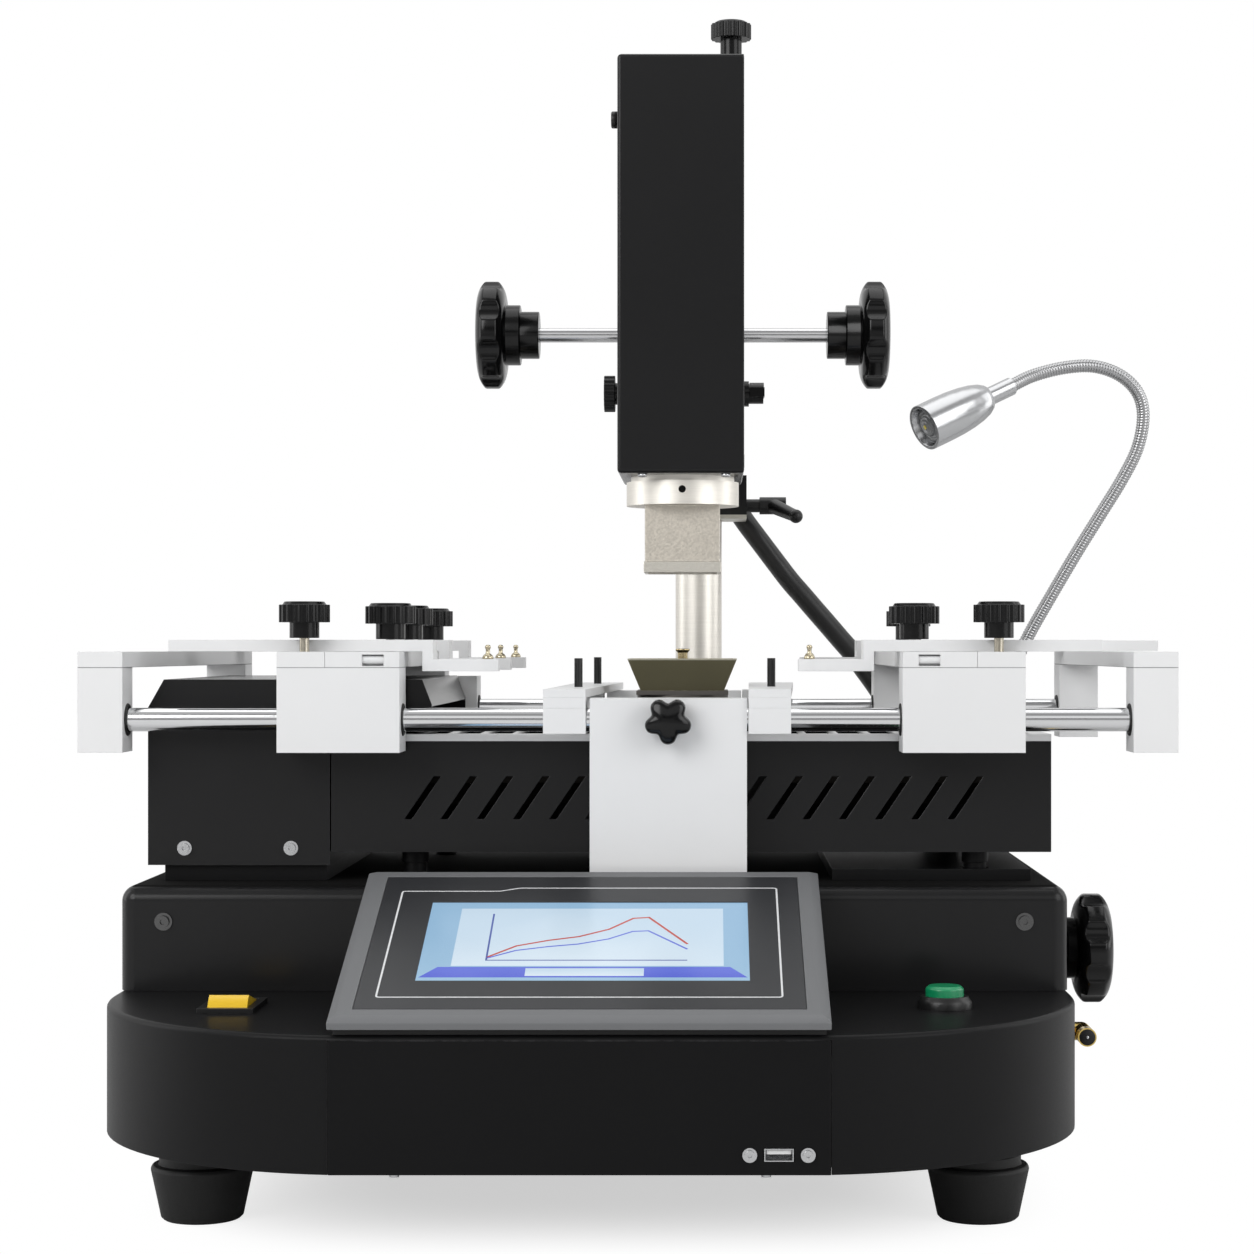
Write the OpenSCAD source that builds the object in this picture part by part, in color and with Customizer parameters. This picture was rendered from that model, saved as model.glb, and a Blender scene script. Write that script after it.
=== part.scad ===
// Bench rework station for ball-grid chips: a base with a control deck, an infrared
// preheating box, a board frame on two rails and a hot-air head on a swinging arm.
// Millimetres, +Z up, the control panel faces -Y and the feet stand on Z = 0.

/* [Base] */
// Width of the base housing
base_w = 481; // [470:1:500]
// Depth of the base housing
base_d = 460; // [458:1:490]
// Height of the base housing
base_h = 62.5; // [56:0.5:72]
// Radius of the two large front corners
corner_r = 145; // [125:1:152]
// Width of the flat front panel
panel_w = 226; // [190:1:236]
// Sheet thickness of the housings
sheet = 2; // [1.5:0.1:3]
// Depth of the control deck in front of the raised tier
deck_d = 157; // [155:1:165]
// Height of the raised tier above the deck
tier_h = 53.3; // [50:0.1:60]
// Rounding of the raised tier
tier_r = 8; // [5:0.5:12]

/* [Feet] */
// Height of the rubber foot
foot_h = 27; // [20:1:35]
// Diameter of the foot at its top
foot_top_d = 50; // [44:1:58]
// Diameter of the foot on the floor
foot_low_d = 40; // [34:1:44]
// Height of the ribbed neck above the foot
neck_h = 15.6; // [12:0.1:20]

/* [Touch panel] */
// Width of the touch panel's frame
hmi_w = 226; // [210:1:228]
// Length of the frame up the slope
hmi_l = 163; // [158:1:166]
// Thickness of the frame
hmi_t = 6; // [5:0.5:8]
// Tilt of the panel
hmi_tilt = 19.3; // [18:0.1:21]
// Width of the display window
window_w = 154; // [140:1:160]
// Height of the display window
window_l = 86; // [78:1:90]

/* [Switches] */
// Distance of the switches from the centre line
switch_x = 172; // [160:1:180]
// Distance of the switches from the front panel
switch_y = 94; // [85:1:105]
// Width of the rocker
rocker_w = 19; // [15:0.5:22]
// Diameter of the push button's cap
button_d = 18.5; // [15:0.5:22]

/* [Preheating box] */
// Width of the preheating box
box_w = 372; // [350:1:374]
// Height of the preheating box
box_h = 57.3; // [50:0.1:58]
// Height of the box above the raised tier
box_gap = 15.1; // [12:0.1:18]
// Number of slots in the box front
slot_count = 16; // [10:1:17]
// Width of one slot
slot_w = 3.6; // [2.5:0.1:5]

/* [Board frame] */
// Diameter of the two rails
rail_d = 12; // [10:0.5:13]
// Distance between the rails
rail_gap = 234; // [230:1:250]
// Height of the rails above the raised tier
rail_lift = 84; // [82:0.5:90]
// Length of the board frame over its end posts
frame_w = 556.5; // [550:0.5:600]
// Width of one end post
post_w = 22.8; // [18:0.1:28]
// Width of one clamp carriage
carriage_w = 62; // [54:1:66]
// Height of the blocks on the rails
block_h = 43; // [41:0.5:48]
// Thickness of the plates on the blocks
cap_t = 8; // [6:0.5:10]
// Width of one clamp arm
arm_w = 20; // [16:0.5:22]
// Thickness of one clamp arm
arm_t = 6; // [5:0.5:8]
// Diameter of the clamp knobs
knob_d = 26; // [22:0.5:28]

/* [Upper head] */
// Width of the head housing
head_w = 68.4; // [66:0.2:76]
// Depth of the head housing
head_d = 110; // [108:1:120]
// Height of the head housing
head_h = 226; // [222:1:245]
// Height of the head above the rails
head_lift = 130.6; // [128:0.1:140]
// Outer diameter of the nozzle ring
ring_d = 62; // [58:0.5:66]
// Width of the square upper nozzle
nozzle_w = 41; // [32:0.5:43]
// Diameter of the handwheels
wheel_d = 60; // [50:1:66]
// Length of the handwheel shaft
shaft_l = 222; // [200:1:230]
// Number of teeth of the two pinions
pinion_teeth = 18; // [16:1:20]
// Diameter of the column
column_d = 28; // [24:0.5:30]

/* [Lower head] */
// Width of the lower nozzle at its mouth
low_mouth_w = 59.6; // [50:0.1:62]
// Width of the lower nozzle at its foot
low_foot_w = 45.4; // [40:0.1:48]
// Height of the lower nozzle
low_nozzle_h = 17.5; // [14:0.5:20]
// Diameter of the lower heater barrel
barrel_d = 50; // [44:0.5:54]
// Diameter of the side handwheel
side_wheel_d = 57; // [48:1:64]

/* [Lamp and hose] */
// Diameter of the air hose
hose_d = 12.6; // [10:0.1:14]
// Diameter of the lamp's flexible neck
goose_d = 8; // [6:0.1:10]
// Diameter of the lamp head
lamp_d = 27.5; // [24:0.5:32]

/* [Hidden] */
$fn = 48;

// Fits and small gaps
eps = 0.01;
seam = 0.2;
run_fit = 0.05;
slide_fit = 0.3;
press_gap = 0.02;

// Levels from the floor up
base_z = foot_h + neck_h;
deck_z = base_z + base_h;
tier_z = deck_z + tier_h;
box_z = tier_z + box_gap;
box_top = box_z + box_h;
rail_z = tier_z + rail_lift;
block_z = rail_z - 16.4;
cap_z = block_z + block_h;
arm_z = cap_z + cap_t;
head_z = rail_z + head_lift;

// Lines seen from above
rail_y = deck_d + 9;
rear_y = rail_y + rail_gap;
work_x = 43.7;
work_y = rail_y + rail_gap / 2;
column_x = work_x + 8.3;
column_y = rear_y + 30;
frame_mid = 17.25;
block_d = 28;
box_y = rail_y + block_d / 2 + 4;
box_d = rail_gap - block_d - 8;
box_x = -137;
tier_back = base_d - 4;

// Switches and sockets on the base
hmi_y = -5;
bezel_edge = 2.5;
hmi_z = deck_z + 8.8;
usb_x = 89.5;
usb_z = base_z + 9.2;
usb_w = 13.2;
usb_h = 5.8;
usb_screw = 13.1;
inlet_x = -150;
inlet_w = 48;
inlet_h = 27;
inlet_lip = 2.5;

// Gears of both lifts
gear_m = 1;
gear_r = gear_m * pinion_teeth / 2;
tooth_play = 0.16;
shaft_d = 8;
shaft_y = work_y + 29;
shaft_z = head_z + 82;
rack_y = shaft_y + gear_r;
lift_y = rail_y + 49;
lift_z = deck_z + 15.6;
low_rack_y = lift_y + gear_r;

// Clamp frame
stud_d = 5;
carriage_in = 98;
arm_knob_in = carriage_in + 8;
arm_rows = [rail_y + 16, rail_y + 102, rear_y - 16];
bracket_w = 79.6;
bracket_x = 37.6;
bracket_d = 20;

// Lamp and hose routes, in the machine's own lines
hose_exit = [column_x + 18, column_y + 26, head_z + 16];
hose_route = [
    [0, 0, 0], [0, 0, -4], [1.2, 0, -11.4], [3.7, 0, -19.6], [7.3, 0, -27.3], [10, -0.2, -31.5],
    [17, -0.6, -41], [24, -1, -50.3], [31, -1.5, -59.6], [38.2, -2, -69], [45.8, -3, -77.8],
    [53.4, -4, -86.7], [61, -5, -95.5], [69, -6.5, -104.9], [77, -8, -114.3], [83.8, -9.5, -123.7],
    [90.4, -11, -133], [97, -12.5, -143], [103.4, -14, -153.5], [109.4, -15.5, -164.5],
    [114.8, -17, -176], [119.3, -18.2, -188], [122.6, -19.2, -200], [125, -20, -210.5], [125, -20, -216.6]
];
lamp_base = [column_x + 170, column_y + 6, tier_z];
socket_h = 14;
goose_route = [
    [0, 0, 0], [0, 0, 16], [3, 0, 38], [11, 0, 66], [21, -1, 92], [31, -2, 114], [45, -4, 139],
    [60, -7, 165], [74, -10, 188], [86, -13, 208], [95, -16, 227], [98, -19, 246], [94, -22, 260],
    [83, -25, 270], [67, -28, 275], [49, -30, 274], [30, -33, 269], [16, -40, 262]
];
lamp_aim = goose_route[len(goose_route) - 1] - goose_route[len(goose_route) - 2];

function lamp_point(p) = lamp_base + [0, 0, socket_h] + p;
goose_points = [for (p = goose_route) lamp_point(p)];
hose_points = [for (p = hose_route) hose_exit + p];

// Middle of the whole machine, where the part's origin lies on the floor
frame_left = frame_mid - frame_w / 2;
frame_right = frame_mid + frame_w / 2;
reach_right = max(frame_right, max([for (p = tube_rings(goose_points, goose_d / 2, 12)) p[0]]));
mid_x = (frame_left + reach_right) / 2;
front_y = hmi_y + bezel_edge * sin(hmi_tilt);
mid_y = (front_y + base_d + inlet_lip) / 2;

// Every piece is drawn in the machine's own lines and then set on the origin
module piece(c) {
    color(c) translate([-mid_x, -mid_y, 0]) children();
}

// A box given by its two corners
module span(low, high) {
    translate(low) cube(high - low);
}

// A rod between two heights, widths or depths
module rod_z(x, y, low, high, d) {
    translate([x, y, low]) cylinder(h = high - low, d = d);
}

module rod_x(y, z, low, high, d) {
    translate([low, y, z]) rotate([0, 90, 0]) cylinder(h = high - low, d = d);
}

module rod_y(x, z, low, high, d) {
    translate([x, low, z]) rotate([-90, 0, 0]) cylinder(h = high - low, d = d);
}

// A profile drawn in X and Z, pushed along +Y
module push_y(low, high) {
    translate([0, high, 0]) rotate([90, 0, 0]) linear_extrude(high - low) children();
}

// A profile drawn in Y and Z, pushed along +X
module push_x(low, high) {
    translate([low, 0, 0]) rotate([90, 0, 90]) linear_extrude(high - low) children();
}

// A box with round upper edges and corners, its back left foot corner at the origin
module soft_box(w, d, h, r) {
    translate([r, 0, 0]) cube([w - 2 * r, d, h - r]);
    translate([0, r, 0]) cube([w, d - 2 * r, h - r]);
    translate([r, r, 0]) cube([w - 2 * r, d - 2 * r, h]);
    for (x = [r, w - r], y = [r, d - r]) {
        translate([x, y, 0]) cylinder(h = h - r, r = r);
        translate([x, y, h - r]) sphere(r = r);
    }
    for (y = [r, d - r])
        rod_x(y, h - r, r, w - r, 2 * r);
    for (x = [r, w - r])
        rod_y(x, h - r, r, d - r, 2 * r);
}

// A round disc whose rim is cut into lobes
module lobed(d, t, lobes, cut_r, cut_depth) {
    linear_extrude(t) difference() {
        circle(d = d);
        for (i = [0 : lobes - 1])
            rotate((i + 0.5) * 360 / lobes) translate([d / 2 + cut_r - cut_depth, 0]) circle(r = cut_r);
    }
}

// A handwheel with a lobed rim, a stepped hub and a hollow face, axis along +Z
module handwheel(d, t, hub_d, neck_d, hub_t, bore_d) {
    difference() {
        union() {
            translate([0, 0, hub_t]) lobed(d, t, 8, d * 0.16, d * 0.045);
            cylinder(h = hub_t + eps, d = hub_d);
            translate([0, 0, -hub_t]) cylinder(h = hub_t + eps, d = neck_d);
        }
        translate([0, 0, hub_t + t - 5]) rotate_extrude() polygon([[d * 0.17, 5.1], [d * 0.38, 5.1],
            [d * 0.35, 0], [d * 0.2, 0]]);
        translate([0, 0, -hub_t - 1]) cylinder(h = 2 * hub_t + t - 3, d = bore_d);
    }
}

// A ribbed grip on a neck, with a blind bore for its stud from below
module knob_grip(bore_d) {
    neck_h = 8;
    grip_h = 9;
    difference() {
        union() {
            cylinder(h = neck_h + eps, d = knob_d * 0.58);
            translate([0, 0, neck_h]) lobed(knob_d, grip_h, 18, knob_d * 0.07, knob_d * 0.035);
            translate([0, 0, neck_h + grip_h - eps]) cylinder(h = 1.6, d1 = knob_d * 0.86, d2 = knob_d * 0.78);
        }
        translate([0, 0, -1]) cylinder(h = stud_in + 1, d = bore_d);
    }
}

// A screw head with a socket on a cup washer, facing +Z
module capped_screw(d) {
    difference() {
        union() {
            cylinder(h = 1, d = d * 1.5);
            cylinder(h = 1 + d * 0.3, d = d);
        }
        translate([0, 0, 1 + d * 0.3 - 1.2]) cylinder(h = 2, d = d * 0.5, $fn = 6);
    }
}

// The side curve of a gear tooth, as a point at radius r
function tooth_point(r, base_r, half) =
    let (a = acos(base_r / r), turn = half - (tan(a) * 180 / PI - a)) [r * cos(turn), r * sin(turn)];

// A pinion with involute teeth; the gap between two teeth faces +X
module pinion_outline(teeth) {
    pitch_r = gear_m * teeth / 2;
    base_r = pitch_r * cos(20);
    tip_r = pitch_r + gear_m;
    root_r = pitch_r - 1.25 * gear_m;
    a20 = tan(20) * 180 / PI - 20;
    half = 90 / teeth - tooth_play / 2 / pitch_r * 180 / PI + a20;
    steps = 4;
    radii = [for (i = [0 : steps]) base_r + (tip_r - base_r) * i / steps];
    low_side = [for (r = radii) let (p = tooth_point(r, base_r, half)) [p[0], -p[1]]];
    high_side = [for (i = [steps : -1 : 0]) tooth_point(radii[i], base_r, half)];
    foot = [[root_r * cos(half), -root_r * sin(half)]];
    heel = [[root_r * cos(half), root_r * sin(half)]];
    tooth = concat(foot, low_side, high_side, heel);
    polygon([for (k = [0 : teeth - 1], p = tooth)
        let (a = (k + 0.5) * 360 / teeth) [p[0] * cos(a) - p[1] * sin(a), p[0] * sin(a) + p[1] * cos(a)]]);
}

// Rack teeth in Y and Z: pitch line at y, teeth towards -Y, a tooth centred on each step from z
module rack_outline(y, z, from_z, to_z, back_y) {
    pitch = PI * gear_m;
    top = pitch / 4 - gear_m * tan(20) - tooth_play / 2;
    low = pitch / 4 + 1.25 * gear_m * tan(20) - tooth_play / 2;
    first = ceil((from_z - z) / pitch + 0.5);
    last = floor((to_z - z) / pitch - 0.5);
    polygon(concat(
        [[back_y, from_z], [y + 1.25 * gear_m, from_z]],
        [for (k = [first : last], p = [[1.25, -low], [-1, -top], [-1, top], [1.25, low]])
            [y + p[0] * gear_m, z + k * pitch + p[1]]],
        [[y + 1.25 * gear_m, to_z], [back_y, to_z]]));
}

// Rings of points along a route, for hoses and necks
function unit(v) = v / norm(v);
function heading(pts, i) =
    unit(pts[min(i + 1, len(pts) - 1)] - pts[max(i - 1, 0)]);
function across(t) = unit(cross(t, abs(t[1]) < 0.9 ? [0, 1, 0] : [1, 0, 0]));
function tube_rings(pts, r, sides) = [
    for (i = [0 : len(pts) - 1])
        let (t = heading(pts, i), u = across(t), v = cross(t, u))
        for (k = [0 : sides - 1]) pts[i] + r * (cos(360 * k / sides) * u + sin(360 * k / sides) * v)
];

module tube(pts, r, sides) {
    last = (len(pts) - 1) * sides;
    walls = [for (i = [0 : len(pts) - 2], k = [0 : sides - 1])
        let (a = i * sides + k, b = i * sides + (k + 1) % sides) [a, a + sides, b + sides, b]];
    start = [[for (k = [0 : sides - 1]) k]];
    finish = [[for (k = [sides - 1 : -1 : 0]) last + k]];
    polyhedron(tube_rings(pts, r, sides), concat(start, walls, finish));
}

// Plan of the base: a flat front, two large round corners and straight sides
module base_plan(inset) {
    cx = base_w / 2 - corner_r;
    for (s = [-1, 1])
        translate([s * cx, corner_r]) circle(r = corner_r - inset, $fn = 96);
    translate([-cx, inset]) square([2 * cx, base_d - 2 * inset]);
    translate([inset - base_w / 2, corner_r]) square([base_w - 2 * inset, base_d - corner_r - inset]);
}

// The base housing, open below, with the deck's openings and the vents at the back
module base_shell() {
    vent_x = 40;
    vent_pitch = 9;
    lid = base_h - sheet;
    piece("#1c1c1e") translate([0, 0, base_z]) difference() {
        linear_extrude(base_h) base_plan(0);
        translate([0, 0, -eps]) linear_extrude(lid) base_plan(sheet);
        span([-panel_w / 2 - seam, -1, -1], [panel_w / 2 + seam, corner_r / 2, lid]);
        span([-base_w / 2 + 45, deck_d + 20, lid - 1], [base_w / 2 - 45, tier_back - 20, base_h + 1]);
        span([-switch_x - rocker_w / 2 - 1, switch_y - rocker_r - 0.5, lid - 1],
             [-switch_x + rocker_w / 2 + 1, switch_y + rocker_r + 0.5, base_h + 1]);
        rod_z(switch_x, switch_y, lid - 1, base_h + 1, 17);
        for (i = [0 : 15])
            span([vent_x + i * vent_pitch, base_d - sheet - 1, 16],
                 [vent_x + i * vent_pitch + 4, base_d + 1, base_h - 16]);
        span([inlet_x - inlet_w / 2 + 4, base_d - sheet - 1, 18],
             [inlet_x + inlet_w / 2 - 4, base_d + 1, 18 + inlet_h - 6]);
        rod_x(rail_y + 19, usb_z - base_z + 29.2, base_w / 2 - sheet - 1, base_w / 2 + 1, 9.7);
    }
}

// The flat front panel with its turned-in lower flange and the socket's cut-out
module front_panel() {
    flange = 18;
    tall = base_h - sheet - seam;
    piece("#1c1c1e") difference() {
        union() {
            span([-panel_w / 2, 0, base_z], [panel_w / 2, sheet, base_z + tall]);
            span([-panel_w / 2, 0, base_z], [panel_w / 2, flange, base_z + sheet]);
        }
        span([usb_x - usb_w / 2 - seam, -1, usb_z - usb_h / 2 - seam],
             [usb_x + usb_w / 2 + seam, sheet + 1, usb_z + usb_h / 2 + seam]);
    }
}

// The bottom cover that carries the feet and the blower
module base_plate() {
    piece("#2a2a2c") translate([0, 0, base_z]) linear_extrude(sheet) difference() {
        base_plan(sheet + seam);
        translate([-panel_w / 2 - 1, -1]) square([panel_w + 2, 19.5]);
        for (i = [0 : 9])
            translate([-140 + i * 14, base_d - 190]) square([6, 60]);
    }
}

foot_x = 190;
foot_front_y = 113;
foot_back_y = base_d - 66;

// Four tapered feet with a ribbed neck under the bottom cover
module rubber_feet() {
    neck_r = foot_low_d / 2 + 1;
    piece("#141414") for (x = [-foot_x, foot_x], y = [foot_front_y, foot_back_y])
        translate([x, y, 0]) rotate_extrude() polygon([
            [0, 0], [foot_low_d / 2 - 1.5, 0], [foot_low_d / 2, 1.5], [foot_top_d / 2, foot_h - 2],
            [foot_top_d / 2 - 1, foot_h], [neck_r, foot_h], [neck_r, foot_h + neck_h * 0.3],
            [neck_r - 3, foot_h + neck_h * 0.4], [neck_r - 3, foot_h + neck_h * 0.6],
            [neck_r, foot_h + neck_h * 0.7], [neck_r, foot_h + neck_h], [0, foot_h + neck_h]]);
}

// Height of the touch panel's underside at depth y
function under_z(y) = hmi_z + (y - hmi_y) * tan(hmi_tilt) - hmi_t / cos(hmi_tilt);
console_front = 3;
console_back = hmi_y + hmi_l * cos(hmi_tilt) - 2;
console_w = hmi_w - 4;
unit_low = 62;
unit_high = 148;
unit_w = 178;
unit_t = 15;

module hmi_place() {
    translate([0, hmi_y, hmi_z]) rotate([hmi_tilt, 0, 0]) children();
}

// The raised tier with the wedge that carries the touch panel
module upper_cover() {
    rim = sheet / cos(hmi_tilt);
    piece("#1e1e20") difference() {
        union() {
            translate([-base_w / 2, deck_d, deck_z]) soft_box(base_w, tier_back - deck_d, tier_h, tier_r);
            push_x(-console_w / 2, console_w / 2) polygon([
                [console_front, deck_z], [console_front, under_z(console_front)],
                [console_back, under_z(console_back)], [deck_d + tier_r, tier_z - tier_r],
                [deck_d + tier_r, deck_z]]);
        }
        translate([sheet - base_w / 2, deck_d + sheet, deck_z - eps])
            soft_box(base_w - 2 * sheet, tier_back - deck_d - 2 * sheet, tier_h - sheet, tier_r - sheet);
        push_x(sheet - console_w / 2, console_w / 2 - sheet) polygon([
            [console_front + sheet, deck_z - 1],
            [console_front + sheet, under_z(console_front + sheet) - rim],
            [console_back - sheet, under_z(console_back - sheet) - rim],
            [deck_d + sheet + 1, tier_z - tier_r - rim], [deck_d + sheet + 1, deck_z - 1]]);
        hmi_place() span([-unit_w / 2 - seam, unit_low - seam, -hmi_t - 8],
                         [unit_w / 2 + seam, unit_high + seam, -hmi_t + 1]);
        rod_z(work_x, work_y, tier_z - sheet - 1, tier_z + 1, barrel_d + 2 * slide_fit);
        rod_x(lift_y, lift_z, base_w / 2 - sheet - 1, base_w / 2 + 1, 10 + 2 * run_fit);
    }
}

overlay_w = hmi_w - 22;
overlay_low = 9;
overlay_high = hmi_l - 10;
overlay_t = 1.6;

// The touch panel's frame with bevelled edges and its housing behind the wedge
module hmi_bezel() {
    bevel = 4;
    piece("#6f7277") hmi_place() {
        difference() {
            intersection() {
                push_y(0, hmi_l) polygon([[-hmi_w / 2, -hmi_t], [hmi_w / 2, -hmi_t], [hmi_w / 2, -bezel_edge],
                    [hmi_w / 2 - bevel, 0], [bevel - hmi_w / 2, 0], [-hmi_w / 2, -bezel_edge]]);
                push_x(-hmi_w / 2, hmi_w / 2) polygon([[0, -hmi_t], [hmi_l, -hmi_t], [hmi_l, -bezel_edge],
                    [hmi_l - bevel, 0], [bevel, 0], [0, -bezel_edge]]);
            }
            span([-overlay_w / 2 - seam, overlay_low - seam, -overlay_t],
                 [overlay_w / 2 + seam, overlay_high + seam, 1]);
        }
        span([-unit_w / 2, unit_low, -hmi_t - unit_t], [unit_w / 2, unit_high, -hmi_t + eps]);
    }
}

// The glass overlay with the sunk display window
module hmi_screen() {
    window_mid = (overlay_low + overlay_high) / 2 - 0.5;
    piece("#26282b") hmi_place() difference() {
        span([-overlay_w / 2, overlay_low, -overlay_t], [overlay_w / 2, overlay_high, 0]);
        span([-window_w / 2, window_mid - window_l / 2, -0.5], [window_w / 2, window_mid + window_l / 2, 1]);
    }
}

rocker_pivot = deck_z - 7;
rocker_r = 17;

// The rocker's frame, the button's collar and the mains inlet at the back
module switch_bezels() {
    piece("#111111") {
        difference() {
            span([-switch_x - rocker_w / 2 - 4, switch_y - rocker_r - 4, deck_z],
                 [-switch_x + rocker_w / 2 + 4, switch_y + rocker_r + 4, deck_z + 2.5]);
            span([-switch_x - rocker_w / 2 - slide_fit, switch_y - rocker_r - slide_fit, deck_z - 1],
                 [-switch_x + rocker_w / 2 + slide_fit, switch_y + rocker_r + slide_fit, deck_z + 3]);
        }
        difference() {
            for (s = [-1, 1])
                span([-switch_x + s * (rocker_w / 2 + 0.6) - 0.3, switch_y - 6, deck_z - 12],
                     [-switch_x + s * (rocker_w / 2 + 0.6) + 0.3, switch_y + 6, deck_z + 1]);
            rod_x(switch_y, rocker_pivot, -switch_x - rocker_w, -switch_x + rocker_w, 3 + 2 * run_fit);
        }
        translate([switch_x, switch_y, deck_z]) difference() {
            union() {
                rotate_extrude() polygon([[0, 0], [button_d / 2 + 4, 0], [button_d / 2 + 4, 3],
                    [button_d / 2 + 2, 6], [0, 6]]);
                translate([0, 0, -14]) cylinder(h = 15, d = 16.5);
            }
            translate([0, 0, 1]) cylinder(h = 8, d = button_d + 2 * run_fit);
            translate([0, 0, -10]) cylinder(h = 12, d = 8 + 2 * run_fit);
        }
        translate([inlet_x, base_d, base_z + 15 + inlet_h / 2]) difference() {
            union() {
                span([-inlet_w / 2, 0, -inlet_h / 2], [inlet_w / 2, inlet_lip, inlet_h / 2]);
                span([-inlet_w / 2 + 5, -24, -inlet_h / 2 + 4], [inlet_w / 2 - 5, 1, inlet_h / 2 - 4]);
            }
            span([-12, -18, -8], [12, inlet_lip + 1, 8]);
        }
    }
}

// The square data socket in the front panel
module usb_port() {
    depth = 14;
    wall = 0.5;
    piece("#c9cacc") {
        difference() {
            span([usb_x - usb_w / 2, -0.6, usb_z - usb_h / 2], [usb_x + usb_w / 2, depth, usb_z + usb_h / 2]);
            span([usb_x - usb_w / 2 + wall, -1, usb_z - usb_h / 2 + wall],
                 [usb_x + usb_w / 2 - wall, depth - 1, usb_z + usb_h / 2 - wall]);
        }
        span([usb_x - usb_w / 2 + 1.2, 0.6, usb_z + 0.2],
             [usb_x + usb_w / 2 - 1.2, depth - 0.5, usb_z + usb_h / 2 - wall - 0.3]);
    }
}

ped_front = box_y;
ped_back = box_y + box_d - 2;
ped_left = -231.5;
ped_right = box_x - 0.6;
ped_z = tier_z + 8.4;
hood_z = rail_z - 6.2;
plate_t = 3.4;

// Screws that show: socket, deck, tier and fan housing
module panel_screws() {
    piece("#b9bbbe") {
        for (s = [-1, 1])
            translate([usb_x + s * usb_screw, 0, usb_z]) rotate([90, 0, 0]) capped_screw(4.4);
        for (s = [-1, 1])
            translate([s * 218, deck_d, tier_z - 18]) rotate([90, 0, 0]) capped_screw(6);
        for (x = [ped_left + 19, ped_right - 20])
            translate([x, ped_front, ped_z + 8.8]) rotate([90, 0, 0]) capped_screw(5);
        for (s = [-1, 1])
            translate([s * 84, 9, base_z]) rotate([180, 0, 0]) capped_screw(4.4);
        translate([box_x + box_w, box_y + 60, box_z + 18]) rotate([0, 90, 0]) capped_screw(6);
    }
}

// A brass hose barb on the right wall, turned towards the front
module vacuum_fitting() {
    vy = rail_y + 19;
    vz = usb_z + 29.2;
    vx = base_w / 2;
    piece("#b8923f") {
        rod_x(vy, vz, vx - sheet, vx + 10, 9.5);
        rod_x(vy, vz, vx, vx + 2.5, 14);
        translate([vx + 10, vy, vz]) sphere(d = 9.5);
        translate([vx + 10, vy, vz]) rotate([90, 0, 0]) {
            cylinder(h = 16, d = 7);
            for (i = [0 : 2])
                translate([0, 0, 6 + i * 4]) cylinder(h = 3.4, d1 = 9.5, d2 = 7);
            translate([0, 0, 16]) cylinder(h = 7, d = 9.5);
        }
    }
}

post_xs = [box_x + 42, box_x + box_w - 38];
post_ys = [box_y + 16, box_y + box_d - 16];

// Plates and spacer posts that carry the fan housing and the preheating box
module mount_plates() {
    piece("#19191a") {
        difference() {
            span([ped_left + 8, ped_front + 4, tier_z], [ped_right - 2, ped_back - 4, ped_z]);
            span([ped_left + 14, ped_front + 10, tier_z - 1], [ped_right - 8, ped_back - 10, ped_z - plate_t]);
        }
        difference() {
            span([box_x + box_w - 113, box_y + 4, tier_z], [box_x + box_w - 10, box_y + box_d - 4, tier_z + 6]);
            for (y = post_ys)
                rod_z(post_xs[1], y, tier_z - 1, tier_z + 7, 14 + 2 * slide_fit);
            rod_z(work_x, work_y, tier_z - 1, tier_z + 7, barrel_d + 20);
        }
        for (x = post_xs, y = post_ys) {
            rod_z(x, y, tier_z, box_z, 12);
            rod_z(x, y, box_z - 6, box_z, 14);
        }
    }
}

slot_pitch = 18.7;
slot_low = 17;
slot_high = 39;
slot_lean = 15;
slot_first = box_x + 38;

// The preheating box: a sheet tray with slanted slots in its front and back
module heater_box() {
    piece("#1a1a1c") difference() {
        span([box_x, box_y, box_z], [box_x + box_w, box_y + box_d, box_top]);
        span([box_x + sheet, box_y + sheet, box_z + sheet],
             [box_x + box_w - sheet, box_y + box_d - sheet, box_top + 1]);
        for (i = [0 : slot_count - 1], y = [box_y - 1, box_y + box_d - sheet - 1]) {
            x = slot_first + i * slot_pitch;
            push_y(y, y + sheet + 2) polygon([[x, box_z + slot_low], [x + slot_w, box_z + slot_low],
                [x + slot_w + slot_lean, box_z + slot_high], [x + slot_lean, box_z + slot_high]]);
        }
        rod_z(work_x, work_y, box_z - 1, box_z + sheet + 1, barrel_d + 8);
    }
}

grid_t = 3.6;
grid_rim = 10;
mouth_half = low_mouth_w / 2 + 4;

// The silver rim of the box with its wires and the opening for the lower nozzle
module heater_grid() {
    wire_d = 3;
    wire_pitch = 17;
    wires = floor((box_w - 2 * grid_rim) / wire_pitch);
    first = box_x + (box_w - (wires - 1) * wire_pitch) / 2;
    piece("#c4c6c9") {
        difference() {
            span([box_x, box_y, box_top], [box_x + box_w, box_y + box_d, box_top + grid_t]);
            span([box_x + grid_rim, box_y + grid_rim, box_top - 1],
                 [box_x + box_w - grid_rim, box_y + box_d - grid_rim, box_top + grid_t + 1]);
        }
        difference() {
            union() {
                for (i = [0 : wires - 1])
                    rod_y(first + i * wire_pitch, box_top + grid_t / 2, box_y + 1, box_y + box_d - 1, wire_d);
                span([work_x - mouth_half - 6, work_y - mouth_half - 6, box_top],
                     [work_x + mouth_half + 6, work_y + mouth_half + 6, box_top + grid_t]);
            }
            span([work_x - mouth_half, work_y - mouth_half, box_top - 1],
                 [work_x + mouth_half, work_y + mouth_half, box_top + grid_t + 1]);
        }
    }
}

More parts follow.
